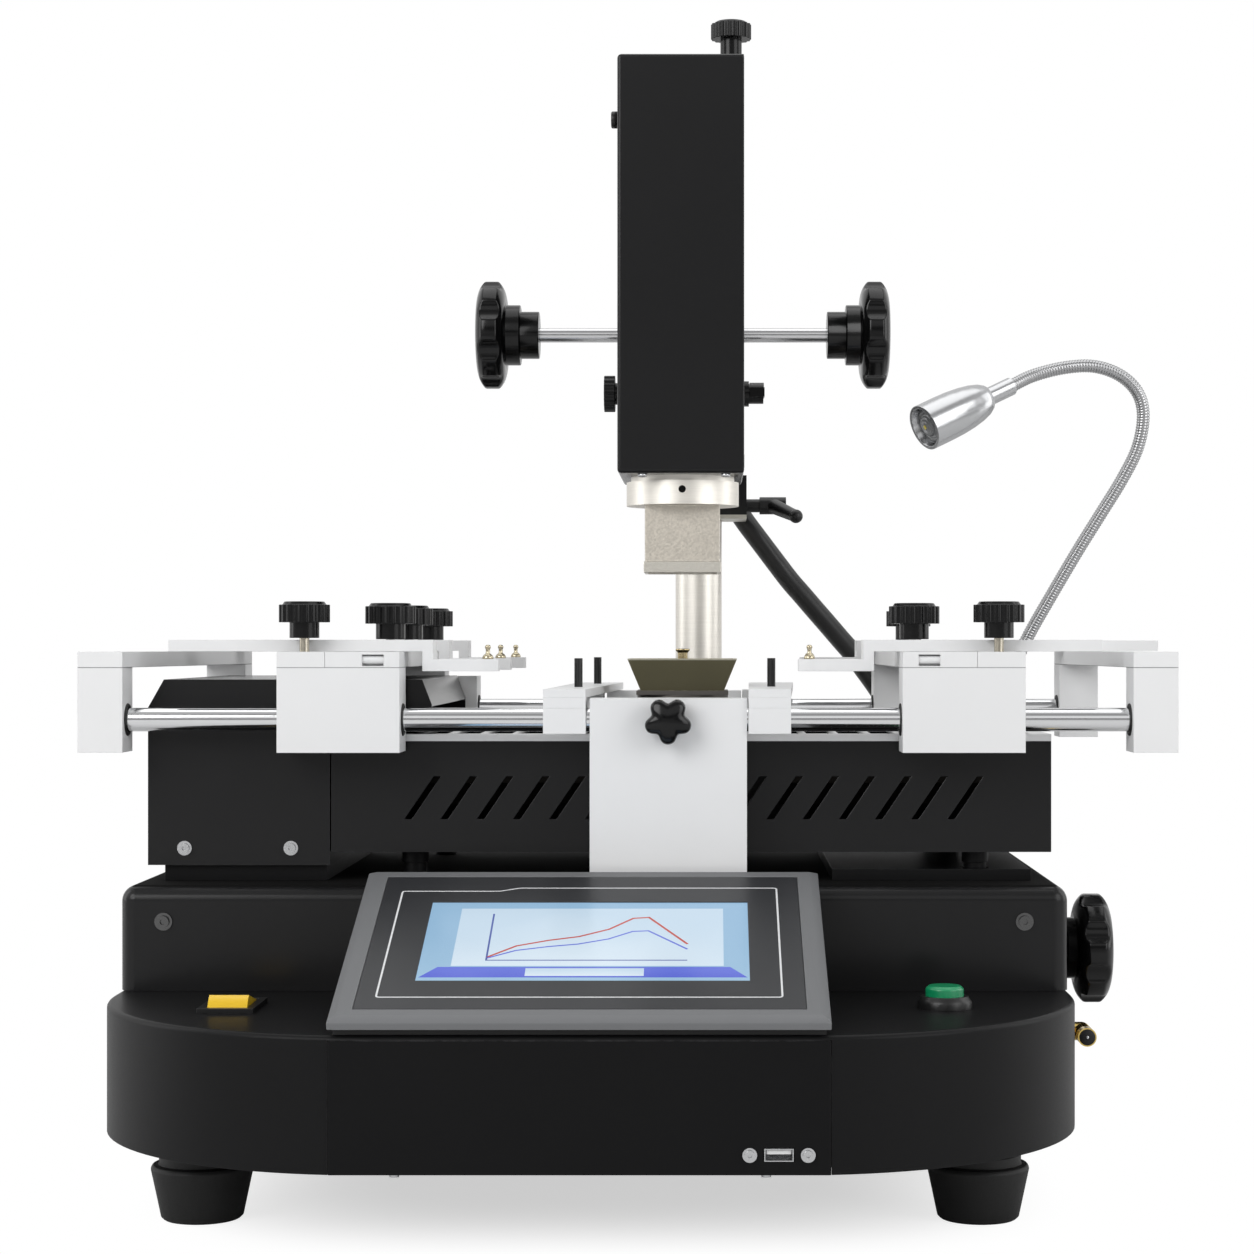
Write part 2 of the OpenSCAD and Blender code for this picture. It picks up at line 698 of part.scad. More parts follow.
// Ceramic infrared plates on short legs in the box
module ir_heaters() {
    plate_w = 56;
    plate_z = box_z + 24;
    piece("#4a3a34") for (x = [work_x - 138, work_x - 76, work_x + 76, work_x + 138]) {
        span([x - plate_w / 2, box_y + 16, plate_z], [x + plate_w / 2, box_y + box_d - 16, plate_z + 11]);
        for (y = [box_y + 40, box_y + box_d - 40])
            rod_z(x, y, box_z + sheet, plate_z, 8);
    }
}

hood_top = hood_z + 26.4;
hood_right = -85;
rotor_d = 54;
rotor_x = (ped_left + ped_right) / 2;
rotor_z = ped_z + 38;
rotor_shaft = 6;
rotor_boss = 8;

// The cross-flow fan's housing: a closed foot and a hood that blows to the right
module fan_housing() {
    piece("#1b1b1d") {
        difference() {
            union() {
                span([ped_left, ped_front, ped_z], [ped_right, ped_back, hood_z + eps]);
                push_y(ped_front + 1, ped_back - 1) polygon([[ped_left - 0.6, hood_z],
                    [ped_left - 0.6, hood_z + 11.2], [ped_left + 8, hood_top], [hood_right - 5, hood_top],
                    [hood_right, hood_top - 13], [hood_right, hood_z]]);
            }
            span([ped_left + sheet, ped_front + sheet, ped_z + sheet], [ped_right - sheet, ped_back - sheet, hood_z + 4]);
            push_y(ped_front + 1 + sheet, ped_back - 1 - sheet) polygon([[ped_left + sheet, hood_z + sheet],
                [ped_left + sheet, hood_z + 10.6], [ped_left + 9, hood_top - sheet],
                [hood_right - 6, hood_top - sheet], [hood_right + 1, hood_top - 16], [hood_right + 1, hood_z + sheet]]);
        }
        for (y = [ped_front + sheet, ped_back - sheet - rotor_boss])
            difference() {
                rod_y(rotor_x, rotor_z, y, y + rotor_boss, 16);
                rod_y(rotor_x, rotor_z, y - 1, y + rotor_boss + 1, rotor_shaft + 2 * run_fit);
            }
    }
}

// The cross-flow rotor: blades between discs on a shaft
module fan_rotor() {
    blades = 20;
    low = ped_front + sheet + rotor_boss + 1;
    high = ped_back - sheet - rotor_boss - 1;
    piece("#8d9094") {
        rod_y(rotor_x, rotor_z, ped_front + sheet + 0.5, ped_back - sheet - 0.5, rotor_shaft);
        for (y = [low, (low + high) / 2 - 1, high - 2])
            rod_y(rotor_x, rotor_z, y, y + 2, rotor_d);
        for (i = [0 : blades - 1])
            translate([rotor_x, 0, rotor_z]) rotate([0, i * 360 / blades, 0])
                translate([rotor_d / 2 - 8, low, -0.5]) rotate([0, 20, 0]) cube([7, high - low, 1]);
    }
}

knob_bore = 6;

// The white brackets that carry the rails in front and behind
module rail_brackets() {
    wall = 5;
    top = rail_z + 11;
    head = rail_z - 15;
    low = bracket_x - bracket_w / 2;
    high = bracket_x + bracket_w / 2;
    piece("#e9eaeb") for (y = [rail_y, rear_y]) difference() {
        union() {
            span([low, y - bracket_d / 2, head], [high, y + bracket_d / 2, top]);
            for (x = [low, high - wall])
                span([x, y - bracket_d / 2, tier_z], [x + wall, y + bracket_d / 2, head + eps]);
            span([low, y - bracket_d / 2, tier_z], [high, y - bracket_d / 2 + 4, head + eps]);
            span([low, y - bracket_d / 2, tier_z], [high, y + bracket_d / 2, tier_z + wall]);
        }
        rod_x(y, rail_z, low - 1, high + 1, rail_d + 2 * run_fit);
        rod_y(bracket_x, rail_z, y - bracket_d / 2 - 1, y, knob_bore + 2 * run_fit);
    }
}

// The star knob that locks the board frame in the front bracket, one lobe down
module star_knob() {
    front = rail_y - bracket_d / 2;
    lobes = 5;
    lobe_r = 3.2;
    lobe_at = 9.2;
    notch_r = 4.1;
    notch_at = 12.19;
    knob_t = 16;
    dome_r = 30;
    step = 180 / lobes;
    piece("#121212") translate([bracket_x, front, rail_z]) rotate([90, 0, 0]) {
        intersection() {
            translate([0, 0, 5]) linear_extrude(knob_t) {
                difference() {
                    polygon([for (i = [0 : 2 * lobes - 1]) let (r = i % 2 == 0 ? lobe_at : notch_at, a = i * step - 90)
                        [r * cos(a), r * sin(a)]]);
                    for (i = [0 : lobes - 1])
                        rotate((2 * i + 1) * step - 90) translate([notch_at, 0]) circle(r = notch_r);
                }
                for (i = [0 : lobes - 1])
                    rotate(2 * i * step - 90) translate([lobe_at, 0]) circle(r = lobe_r);
            }
            translate([0, 0, knob_t - dome_r]) sphere(r = dome_r);
        }
        translate([0, 0, slide_fit]) cylinder(h = 5, d = 13);
        translate([0, 0, -(bracket_d - rail_d) / 2 + slide_fit]) cylinder(h = 6, d = knob_bore);
    }
}

column_top = head_z + 22;
flange_t = 8;
clamp_z = head_z - 17;
clamp_h = 26;

// The round column on its flange
module column() {
    piece("#b7b5ae") difference() {
        union() {
            rod_z(column_x, column_y, tier_z, column_top, column_d);
            difference() {
                rod_z(column_x, column_y, tier_z, tier_z + flange_t, column_d + 22);
                span([column_x - column_d, rear_y, tier_z - 1],
                     [column_x + column_d, rear_y + bracket_d / 2 + seam, tier_z + flange_t + 1]);
            }
        }
        rod_z(column_x, column_y, tier_z + 3, column_top + 1, column_d - 6);
    }
}

// The column's cap with the hose's lug, the hose's gland on the raised tier and the lamp's socket
module metal_fittings() {
    socket_bore = goose_d + 3;
    cap_low = column_top - 11;
    cap_high = column_top + 2;
    lug = 10;
    foot = hose_points[len(hose_points) - 1];
    piece("#9a9c9f") {
        difference() {
            union() {
                rod_z(column_x, column_y, cap_low, cap_high, column_d + 12);
                span([column_x + lug / 2, column_y + lug, hose_exit[2]],
                     [hose_exit[0] + lug, hose_exit[1] + hose_d / 2, cap_high]);
            }
            rod_z(column_x, column_y, cap_low - 1, column_top + press_gap, column_d + 2 * press_gap);
        }
        rod_z(foot[0], foot[1], tier_z, foot[2], hose_d + 5);
        translate([foot[0], foot[1], tier_z]) cylinder(h = 8, d = hose_d + 11, $fn = 6);
        translate(lamp_base) difference() {
            union() {
                cylinder(h = 5, d = goose_d + 13);
                cylinder(h = socket_h - slide_fit, d = goose_d + 8);
            }
            translate([0, 0, 3]) cylinder(h = socket_h, d = socket_bore + 2 * run_fit);
        }
    }
}

// The blower on the bottom cover that feeds both hot-air heaters
module air_blower() {
    bx = -95;
    by = base_d - 130;
    low = base_z + sheet;
    tall = base_h - 2 * sheet - 8;
    piece("#3a3b3d") translate([bx, by, low]) {
        cylinder(h = tall * 0.55, d = 104);
        cylinder(h = tall, d = 58);
        span([0, -52, 0], [92, -18, tall * 0.55]);
    }
}

// The air hose from the column to the raised tier
module air_hose() {
    piece("#121212") tube(hose_points, hose_d / 2, 12);
}

// The rocker with round ends about its pivot
module rocker() {
    piece("#f2c20c") translate([-switch_x, switch_y, rocker_pivot]) {
        push_x(-rocker_w / 2, rocker_w / 2) intersection() {
            circle(r = rocker_r);
            polygon([[-rocker_r, -2], [rocker_r, -2], [rocker_r, 8.6], [-rocker_r, 16.2]]);
        }
        rod_x(0, 0, -rocker_w / 2 - 0.8, rocker_w / 2 + 0.8, 3);
    }
}

// The push button's cap and stem
module button_cap() {
    piece("#138a4c") translate([switch_x, switch_y, deck_z]) {
        translate([0, 0, 3]) rotate_extrude() polygon([[0, 0], [button_d / 2, 0], [button_d / 2, 6.5],
            [button_d / 2 - 1.5, 8], [0, 8]]);
        translate([0, 0, -6]) cylinder(h = 9.5, d = 8);
    }
}

low_collar_z = rail_z + 10.9;
low_collar_t = 2.2;
low_nozzle_z = low_collar_z + low_collar_t;
lift_shaft_d = 10;
side_hub = 5;
side_rim = 18;
side_wheel_x = base_w / 2 + slide_fit + side_hub;

// The side handwheel, its shaft through the wall and the pinion of the lower lift
module side_handwheel() {
    piece("#111111") {
        translate([side_wheel_x, lift_y, lift_z]) rotate([0, 90, 0])
            handwheel(side_wheel_d, side_rim, 32, 25, side_hub, lift_shaft_d + 2 * press_gap);
        rod_x(lift_y, lift_z, work_x - 8, side_wheel_x + side_hub + side_rim - 4.5, lift_shaft_d);
        translate([0, lift_y, lift_z]) push_x(work_x - 6, work_x + 6) pinion_outline(pinion_teeth);
    }
}

// The lower hot-air barrel with its rack and the square collar under the nozzle
module lower_heater() {
    wall = 2.5;
    collar_w = low_foot_w + 4.6;
    foot = deck_z - 6;
    piece("#55504a") {
        difference() {
            union() {
                rod_z(work_x, work_y, foot, low_collar_z + eps, barrel_d);
                span([work_x - collar_w / 2, work_y - collar_w / 2, low_collar_z],
                     [work_x + collar_w / 2, work_y + collar_w / 2, low_nozzle_z]);
                push_x(work_x - 5, work_x + 5) rack_outline(low_rack_y, lift_z, lift_z - 17, lift_z + 26,
                    work_y - barrel_d / 2 + 1);
            }
            rod_z(work_x, work_y, foot + 3, low_nozzle_z - 3, barrel_d - 2 * wall);
            difference() {
                rod_z(work_x, work_y, low_nozzle_z - 4, low_nozzle_z + 1, low_foot_w - 8);
                span([work_x - 4, work_y - 40, low_nozzle_z - 5], [work_x + 4, work_y + 40, low_nozzle_z + 2]);
            }
        }
    }
}

// A square funnel by crossing two trapezoids
module funnel(low_w, high_w, h) {
    intersection() {
        push_y(-high_w, high_w) polygon([[-low_w / 2, 0], [low_w / 2, 0], [high_w / 2, h], [-high_w / 2, h]]);
        push_x(-high_w, high_w) polygon([[-low_w / 2, 0], [low_w / 2, 0], [high_w / 2, h], [-high_w / 2, h]]);
    }
}

// The lower nozzle, wider at its mouth
module lower_nozzle() {
    wall = 1.6;
    piece("#8a7f5c") translate([work_x, work_y, low_nozzle_z]) difference() {
        funnel(low_foot_w, low_mouth_w, low_nozzle_h);
        difference() {
            funnel(low_foot_w - 2 * wall, low_mouth_w - 2 * wall, low_nozzle_h);
            span([-60, -60, -1], [60, 60, 0.001]);
        }
        span([-low_foot_w / 2 + wall, -low_foot_w / 2 + wall, -1], [low_foot_w / 2 - wall, low_foot_w / 2 - wall, 1]);
        span([-low_mouth_w / 2 + wall, -low_mouth_w / 2 + wall, low_nozzle_h - 0.5],
             [low_mouth_w / 2 - wall, low_mouth_w / 2 - wall, low_nozzle_h + 1]);
    }
}

// The brass pin that props the board over the lower nozzle
module support_pin() {
    neck = low_nozzle_h + 3.4;
    piece("#c09a4a") translate([work_x, work_y, low_nozzle_z]) rotate_extrude() polygon([[0, 0], [4, 0], [4, 2],
        [2.8, 3], [2.8, neck], [3.95, neck + 1], [3.95, neck + 1.8], [3.6, neck + 2], [0, neck + 2]]);
}

rail_seat = post_w - 6;
rear_left = 22;
rear_right = 7;
post_rows = [[rail_y, frame_left, frame_right - post_w],
             [rear_y, frame_left + rear_left, frame_right - post_w - rear_right]];

// The two round rails
module rails() {
    seat = post_w - rail_seat + slide_fit;
    piece("#d5d7da") for (row = post_rows)
        rod_x(row[0], rail_z, row[1] + seat, row[2] + post_w - seat, rail_d);
}

// Posts that hold the rails' ends, with a bar on each pair
module end_frames() {
    half = 12;
    piece("#e6e7e8") {
        for (row = post_rows, k = [1, 2]) difference() {
            span([row[k], row[0] - half, block_z], [row[k] + post_w, row[0] + half, cap_z - press_gap]);
            rod_x(row[0], rail_z, k == 1 ? row[k] + post_w - rail_seat : row[k] - 1,
                  k == 1 ? row[k] + post_w + 1 : row[k] + rail_seat, rail_d + 2 * press_gap);
        }
        for (k = [1, 2])
            translate([0, 0, cap_z]) linear_extrude(cap_t) polygon([
                [post_rows[0][k], rail_y - half], [post_rows[0][k] + post_w, rail_y - half],
                [post_rows[1][k] + post_w, rear_y + half], [post_rows[1][k], rear_y + half]]);
    }
}

right_in = 156;
glide = 0.1;
stud_in = 7;
arm_knob_z = arm_z + glide + arm_t + slide_fit;
bridge_w = 37.6;
rear_reach = 19;
right_rear_in = 20;
lock_in = 50;

// A clamp carriage: blocks on both rails, a cap on each and a bridge along the inner edge, with a stud
// for each arm given as [distance from the inner edge, y]. Drawn for an inner edge at x, with the carriage
// lying on the side s of it.
module carriage(x, s, studs) {
    half = block_d / 2;
    pocket = [8, 19];
    pocket_d = 6;
    pin_z = (cap_z + arm_z) / 2;
    function at(u) = x + s * u;
    module slab(u0, u1, y0, y1, z0, z1) {
        span([min(at(u0), at(u1)), y0, z0], [max(at(u0), at(u1)), y1, z1]);
    }
    difference() {
        union() {
            for (y = [rail_y, rear_y])
                slab(0, carriage_w, y - half, y + half, block_z, cap_z - press_gap);
            for (y = [rail_y, rear_y])
                slab(bridge_w + seam, carriage_w, y - half, y + half, cap_z, arm_z);
            difference() {
                slab(0, bridge_w, rail_y - half, rear_y + half, cap_z, arm_z);
                slab(pocket[0], pocket[1], rail_y - half - 1, rail_y - half + pocket_d, cap_z + 0.8, arm_z - 1.4);
            }
            rod_x(rail_y - half + 3, pin_z, min(at(pocket[0] - 1), at(pocket[1] + 1)),
                  max(at(pocket[0] - 1), at(pocket[1] + 1)), 4);
            children();
        }
        for (y = [rail_y, rear_y])
            rod_x(y, rail_z, x - 2 * carriage_w, x + 2 * carriage_w, rail_d + 2 * run_fit);
        rod_z(at(lock_in), rail_y, rail_z, arm_z + 1, stud_d + 2 * run_fit);
        for (p = studs)
            rod_z(at(p[0]), p[1], arm_z - stud_in, arm_z + 1, stud_d + 2 * press_gap);
    }
    for (p = studs)
        rod_z(at(p[0]), p[1], arm_z - stud_in + press_gap, arm_knob_z + stud_in - 1, stud_d);
}

stud_at = arm_knob_in - carriage_in;

// The left carriage's rear block reaches further in
module left_carriage() {
    piece("#ebecec") carriage(-carriage_in, -1, [for (y = arm_rows) [stud_at, y]])
        span([-carriage_in - 1, rear_y - block_d / 2, block_z],
             [-carriage_in + rear_reach, rear_y + block_d / 2, cap_z - 7]);
}

module right_carriage() {
    piece("#ebecec") carriage(right_in, 1, [[stud_at, arm_rows[0]], [right_rear_in, arm_rows[2]]]);
}

lock_gap = 7;
lock_stud = arm_z + lock_gap - rail_z - rail_d / 2 - slide_fit;

// A knob whose own stud reaches down through the carriage to the rail
module lock_knob(x) {
    piece("#121212") translate([x, rail_y, arm_z + lock_gap]) {
        knob_grip(stud_d + 2 * press_gap);
        translate([0, 0, -lock_stud]) cylinder(h = lock_stud + stud_in - press_gap, d = stud_d);
    }
}

left_out = 120.7;
right_out = [107.7, 162];
right_shift = [-3.8, 3.8];
web_in = 9.4;
web_out = 15;
tip_in = 48;
pin_in = 42.2;
low_drop = 10;
low_t = 6.2;
arm_travel = 30;
arm_back = 8;
pin_d = 4.5;

// A clamp arm in its own lines: u runs inwards from the carriage's inner edge, the stud is at stud_u and
// the bar ends at -out
module clamp_arm(stud_u, out) {
    half = arm_w / 2;
    slot = stud_d + 1;
    low_z = arm_z - low_drop;
    taper = 7.5;
    difference() {
        union() {
            push_y(-half, half) polygon([[-out, arm_z + glide], [web_in, arm_z + glide], [web_in, low_z],
                [web_out, low_z], [web_out, arm_z + glide + arm_t], [-out, arm_z + glide + arm_t]]);
            translate([0, 0, low_z]) linear_extrude(low_t) polygon([[web_in, -half], [tip_in - taper, -half],
                [tip_in, -half / 2], [tip_in, half / 2], [tip_in - taper, half], [web_in, half]]);
        }
        for (u = [stud_u - arm_travel, stud_u + arm_back])
            rod_z(u, 0, arm_z - 1, arm_z + arm_t + 1, slot);
        span([stud_u - arm_travel, -slot / 2, arm_z - 1], [stud_u + arm_back, slot / 2, arm_z + arm_t + 1]);
        rod_z(pin_in, 0, low_z - 1, low_z + low_t + 1, pin_d + 2 * press_gap);
    }
    translate([pin_in, 0, low_z]) rotate_extrude() polygon([[0, 0], [pin_d / 2, 0],
        [pin_d / 2, low_t + press_gap], [2.9, low_t + press_gap], [2.9, low_t + 0.9], [2.3, low_t + 2],
        [1.3, low_t + 2.8], [1.1, low_t + 3.2], [1.1, low_t + 5.2], [1.5, low_t + 5.6], [1.5, low_t + 6.6],
        [0.9, low_t + 7.3], [0, low_t + 7.4]]);
}

module left_arm(y) {
    piece("#eeeeee") translate([-carriage_in, y, 0]) clamp_arm(-stud_at, left_out);
}

module right_arm(y, shift, stud_x, out) {
    piece("#eeeeee") translate([right_in + shift, y, 0]) mirror([1, 0, 0]) clamp_arm(shift - stud_x, out);
}

// A knob that turns on the carriage's stud and presses the arm down
module arm_knob(x, y) {
    piece("#131313") translate([x, y, arm_knob_z]) knob_grip(stud_d + 2 * run_fit);
}

bar_w = 21.5;
bar_pin_d = 4.4;
bar_top = rail_z + 15.6;
bar_plate_t = 4.1;

// A support bar: a block with two cheeks on each rail, a leaning plate over them and board pins at [x, y]
module support_bar(low, lean_low, lean_high, pins) {
    high = low + bar_w;
    plate_z = bar_top - bar_plate_t;
    seat = rail_z + rail_d / 2 + run_fit;
    cheek_in = rail_d / 2 + slide_fit;
    cheek_out = 12;
    foot = rail_z - 6.9;
    pin_seat = bar_top - bar_plate_t + 1;
    front = rail_y - cheek_out;
    rear = rear_y + cheek_out;
    piece("#e4e5e6") {
        difference() {
            translate([0, 0, plate_z]) linear_extrude(bar_plate_t) polygon([[low, front], [high, front],
                [high + lean_high, rear], [low + lean_low, rear]]);
            for (p = pins)
                rod_z(p[0], p[1], pin_seat, bar_top + 1, bar_pin_d + 2 * press_gap);
        }
        for (y = [rail_y, rear_y]) {
            span([low, y - cheek_out, seat], [high, y + cheek_out, plate_z - press_gap]);
            for (s = [-1, 1])
                span([low, y + min(s * cheek_in, s * cheek_out), foot],
                     [high, y + max(s * cheek_in, s * cheek_out), seat - press_gap]);
        }
    }
    piece("#171717") for (p = pins)
        rod_z(p[0], p[1], pin_seat + press_gap, bar_top + 15.4, bar_pin_d);
}

module left_support_bar() {
    low = bracket_x - bracket_w / 2 - 2 - bar_w;
    high = low + bar_w;
    support_bar(low, 6, 11, [[high - 7.2, rail_y + 64], [high - 2, rail_y + 188]]);
}

module right_support_bar() {
    low = bracket_x + bracket_w / 2 + 0.8;
    support_bar(low, 4, 9, [[low + 13.6, rail_y + 79]]);
}

mast_w = 24;
mast_d = 15;
mast_top = head_z + head_h - 43;
lift_down = 34;
lift_up = 50;
head_x = work_x - head_w / 2 - 0.7;
head_y = work_y - 40;
rack_seat_y = rack_y + 1.25 * gear_m + 3;
clamp_half = 28.8;
clamp_front = column_y - 25;
clamp_back = column_y + 16;
lever_x = column_x + 45;
lever_z = clamp_z + 9;
lever_d = 6;

// The swinging arm: a clamp block on the column, a link and the mast
module swing_arm() {
    low = work_x - mast_w / 2;
    high = work_x + mast_w / 2;
    back_y = rack_y + mast_d;
    top = clamp_z + clamp_h;
    piece("#1d1d1f") difference() {
        union() {
            span([column_x - clamp_half, clamp_front, clamp_z], [column_x + clamp_half, clamp_back, top]);
            span([low, back_y - 1, clamp_z], [high, clamp_front + 1, top]);
            span([low, rack_seat_y, clamp_z], [high, back_y, mast_top]);
        }
        rod_z(column_x, column_y, clamp_z - 1, top + 1, column_d + 2 * run_fit);
        rod_x(column_y, lever_z, column_x, column_x + clamp_half + 1, lever_d + 2 * run_fit);
    }
}

// The rack on the mast's face
module head_rack() {
    half = mast_w / 2 - 2;
    piece("#8b8d90") push_x(work_x - half, work_x + half)
        rack_outline(rack_y, shaft_z, shaft_z - lift_down - 16, shaft_z + lift_up + 16, rack_seat_y);
}

// The clamp's lever with its screw
module clamp_lever() {
    reach = [13, -34, -8];
    hub = 8;
    piece("#141414") translate([lever_x, column_y, lever_z]) {
        rod_x(0, 0, -hub, hub, 10.5);
        rod_x(0, 0, column_x + column_d / 2 + 2.5 - lever_x, 0, lever_d);
        rod_x(0, 0, column_x + clamp_half + slide_fit - lever_x, -hub + eps, 8);
        aim(reach) {
            cylinder(h = norm(reach), d1 = 9.4, d2 = 7.2);
            translate([0, 0, norm(reach)]) sphere(d = 8.2);
        }
    }
}

top_stem_x = head_x + head_w - 6.6;
top_stem_y = work_y + 17;
stem_d = 6;
side_z = head_z + 46;
side_y = work_y - 3;
air_d = 46;

// The head's housing with its mast guides, open at the back for the arm's link
module head_housing() {
    x1 = head_x + head_w;
    y1 = head_y + head_d;
    z1 = head_z + head_h;
    gap_w = mast_w / 2 + 2;
    guide_t = 5;
    piece("#1c1c1e") difference() {
        union() {
            difference() {
                span([head_x, head_y, head_z], [x1, y1, z1]);
                span([head_x + sheet, head_y + sheet, head_z + 3], [x1 - sheet, y1 - sheet, z1 - sheet]);
                span([work_x - gap_w, rack_y - 4, head_z - 1], [work_x + gap_w, y1 + 1, head_z + 3.5]);
                span([work_x - gap_w, y1 - sheet - 1, head_z - 1],
                     [work_x + gap_w, y1 + 1, clamp_z + clamp_h + lift_down + 3]);
                rod_z(work_x, work_y, head_z - 1, head_z + 4, air_d + 2 * slide_fit);
            }
            for (s = [-1, 1])
                span([work_x + s * (mast_w / 2 + glide + guide_t / 2) - guide_t / 2, rack_y + 2, head_z + 60],
                     [work_x + s * (mast_w / 2 + glide + guide_t / 2) + guide_t / 2, y1 - sheet + eps, z1 - 18]);
        }
        rod_x(shaft_y, shaft_z, head_x - 1, x1 + 1, shaft_d + 2 * run_fit);
        rod_z(top_stem_x, top_stem_y, z1 - sheet - 1, z1 + 1, stem_d + 2 * run_fit);
        rod_x(side_y, side_z, head_x - 1, x1 + 1, stem_d + 2 * run_fit);
    }
}

ring_t = 16;

// The satin ring under the head with the hot-air barrel above it
module nozzle_ring() {
    piece("#c9c5bb") difference() {
        union() {
            rod_z(work_x, work_y, head_z - ring_t, head_z - 3, ring_d);
            rod_z(work_x, work_y, head_z - 3 - eps, head_z, ring_d - 5);
            rod_z(work_x, work_y, head_z - eps, head_z + 58, air_d);
        }
        rod_z(work_x, work_y, head_z - ring_t - 1, head_z + 50, nozzle_w - 9);
        rod_y(work_x, head_z - 8, work_y - ring_d, work_y - ring_d / 2 + 6, 4);
    }
}

nozzle_h = 37;

// The square upper nozzle with its rolled lip
module top_nozzle() {
    lip = 6;
    wall = 1.6;
    half = nozzle_w / 2;
    low = head_z - ring_t - nozzle_h;
    high = head_z - ring_t;
    piece("#b9b1a3") translate([work_x, work_y, 0]) difference() {
        union() {
            span([-half, -half, low + lip - eps], [half, half, high]);
            span([-half - 0.6, -half - 0.6, low], [half + 0.6, half + 0.6, low + lip]);
        }
        span([wall - half, wall - half, low - 1], [half - wall, half - wall, high - 3]);
        rod_z(0, 0, high - 4, high + 1, nozzle_w - 12);
    }
}

wheel_rim = 16;
wheel_hub = 8;

// The handwheels' shaft with the pinion that climbs the rack
module head_shaft() {
    piece("#d0d2d5") {
        rod_x(shaft_y, shaft_z, work_x - shaft_l / 2, work_x + shaft_l / 2, shaft_d);
        translate([0, shaft_y, shaft_z]) push_x(work_x - 6, work_x + 6) pinion_outline(pinion_teeth);
    }
}

module handwheels() {
    seat = shaft_l / 2 - wheel_hub - wheel_rim + 4.5;
    piece("#121212") for (s = [-1, 1])
        translate([work_x + s * seat, shaft_y, shaft_z]) rotate([0, s * 90, 0])
            handwheel(wheel_d, wheel_rim, 32, 25, wheel_hub, shaft_d + 2 * press_gap);
}

// The ribbed knob on the head
module top_knob() {
    grip_d = 22.5;
    piece("#131313") translate([top_stem_x, top_stem_y, head_z + head_h]) {
        translate([0, 0, slide_fit]) cylinder(h = 20, d = 12);
        translate([0, 0, 20]) lobed(grip_d, 8.4, 18, 1.7, 0.8);
        translate([0, 0, 28.3]) cylinder(h = 1.4, d1 = 19, d2 = 17);
        translate([0, 0, -10]) cylinder(h = 11, d = stem_d);
    }
}

module left_side_knob() {
    piece("#131313") translate([head_x, side_y, side_z]) {
        translate([-slide_fit - 8, 0, 0]) rotate([0, 90, 0]) lobed(20, 6, 16, 1.6, 0.7);
        rod_x(0, 0, -slide_fit - 2.1, -slide_fit, 12);
        rod_x(0, 0, -3, 8, stem_d);
    }
}

// The wing knob on the head's right side
module right_wing_knob() {
    piece("#131313") translate([head_x + head_w, side_y, side_z]) {
        rod_x(0, 0, slide_fit, 3, 14);
        rod_x(0, 0, 2.9, 11, 11);
        for (s = [-1, 1])
            translate([3.5, 0, 0]) rotate([s * 78 + 12, 0, 0]) span([0, -2.5, 0], [8, 2.5, 12]);
        rod_x(0, 0, -8, 3, stem_d);
    }
}

// The lamp's flexible neck with the ferrule that turns in the socket
module gooseneck() {
    ferrule_d = goose_d + 3;
    piece("#b4b6b8") {
        tube(goose_points, goose_d / 2, 12);
        rod_z(lamp_base[0], lamp_base[1], lamp_base[2] + 3 + slide_fit, lamp_base[2] + socket_h, ferrule_d);
    }
}

module aim(v) {
    rotate([0, acos(v[2] / norm(v)), atan2(v[1], v[0])]) children();
}

// The bullet-shaped lamp head with its sunk lens
module lamp_head() {
    sleeve = 18;
    nose = 34;
    barrel = 14;
    small_r = 5.4;
    big_r = lamp_d / 2;
    cup = 5;
    front = sleeve + nose + barrel;
    piece("#c8cacc") translate(goose_points[len(goose_points) - 1]) aim(lamp_aim) {
        rotate_extrude() polygon(concat(
            [[0, 0], [small_r, 0], [small_r, sleeve]],
            [for (a = [0 : 15 : 90]) [small_r + 0.8 + (big_r - small_r - 0.8) * sin(a), sleeve + nose * (1 - cos(a))]],
            [[big_r, front], [big_r - 2, front], [big_r - 4, front - cup], [0, front - cup]]));
        translate([0, 0, front - cup]) cylinder(h = 3, d1 = big_r, d2 = big_r * 0.7);
    }
}

base_shell();
front_panel();
base_plate();
rubber_feet();
upper_cover();
hmi_bezel();
hmi_screen();
switch_bezels();
usb_port();
panel_screws();
vacuum_fitting();
mount_plates();
heater_box();
heater_grid();
ir_heaters();
fan_housing();
rail_brackets();
column();
metal_fittings();
air_blower();
air_hose();
rocker();
button_cap();
side_handwheel();
lower_heater();
lower_nozzle();
support_pin();
fan_rotor();
star_knob();
rails();
end_frames();
left_carriage();
right_carriage();
lock_knob(-carriage_in - lock_in);  // left_lock_knob
lock_knob(right_in + lock_in);  // right_lock_knob
left_arm(arm_rows[0]);  // left_arm_front
left_arm(arm_rows[1]);  // left_arm_middle
left_arm(arm_rows[2]);  // left_arm_rear
right_arm(arm_rows[0], right_shift[0], stud_at, right_out[0]);  // right_arm_front
right_arm(arm_rows[2], right_shift[1], right_rear_in, right_out[1]);  // right_arm_rear
arm_knob(-arm_knob_in, arm_rows[0]);  // left_knob_front
arm_knob(-arm_knob_in, arm_rows[1]);  // left_knob_middle
arm_knob(-arm_knob_in, arm_rows[2]);  // left_knob_rear
arm_knob(right_in + stud_at, arm_rows[0]);  // right_knob_front
arm_knob(right_in + right_rear_in, arm_rows[2]);  // right_knob_rear
left_support_bar();
right_support_bar();
swing_arm();
head_rack();
clamp_lever();
head_housing();
nozzle_ring();
top_nozzle();
head_shaft();
handwheels();
top_knob();
left_side_knob();
right_wing_knob();
gooseneck();
lamp_head();
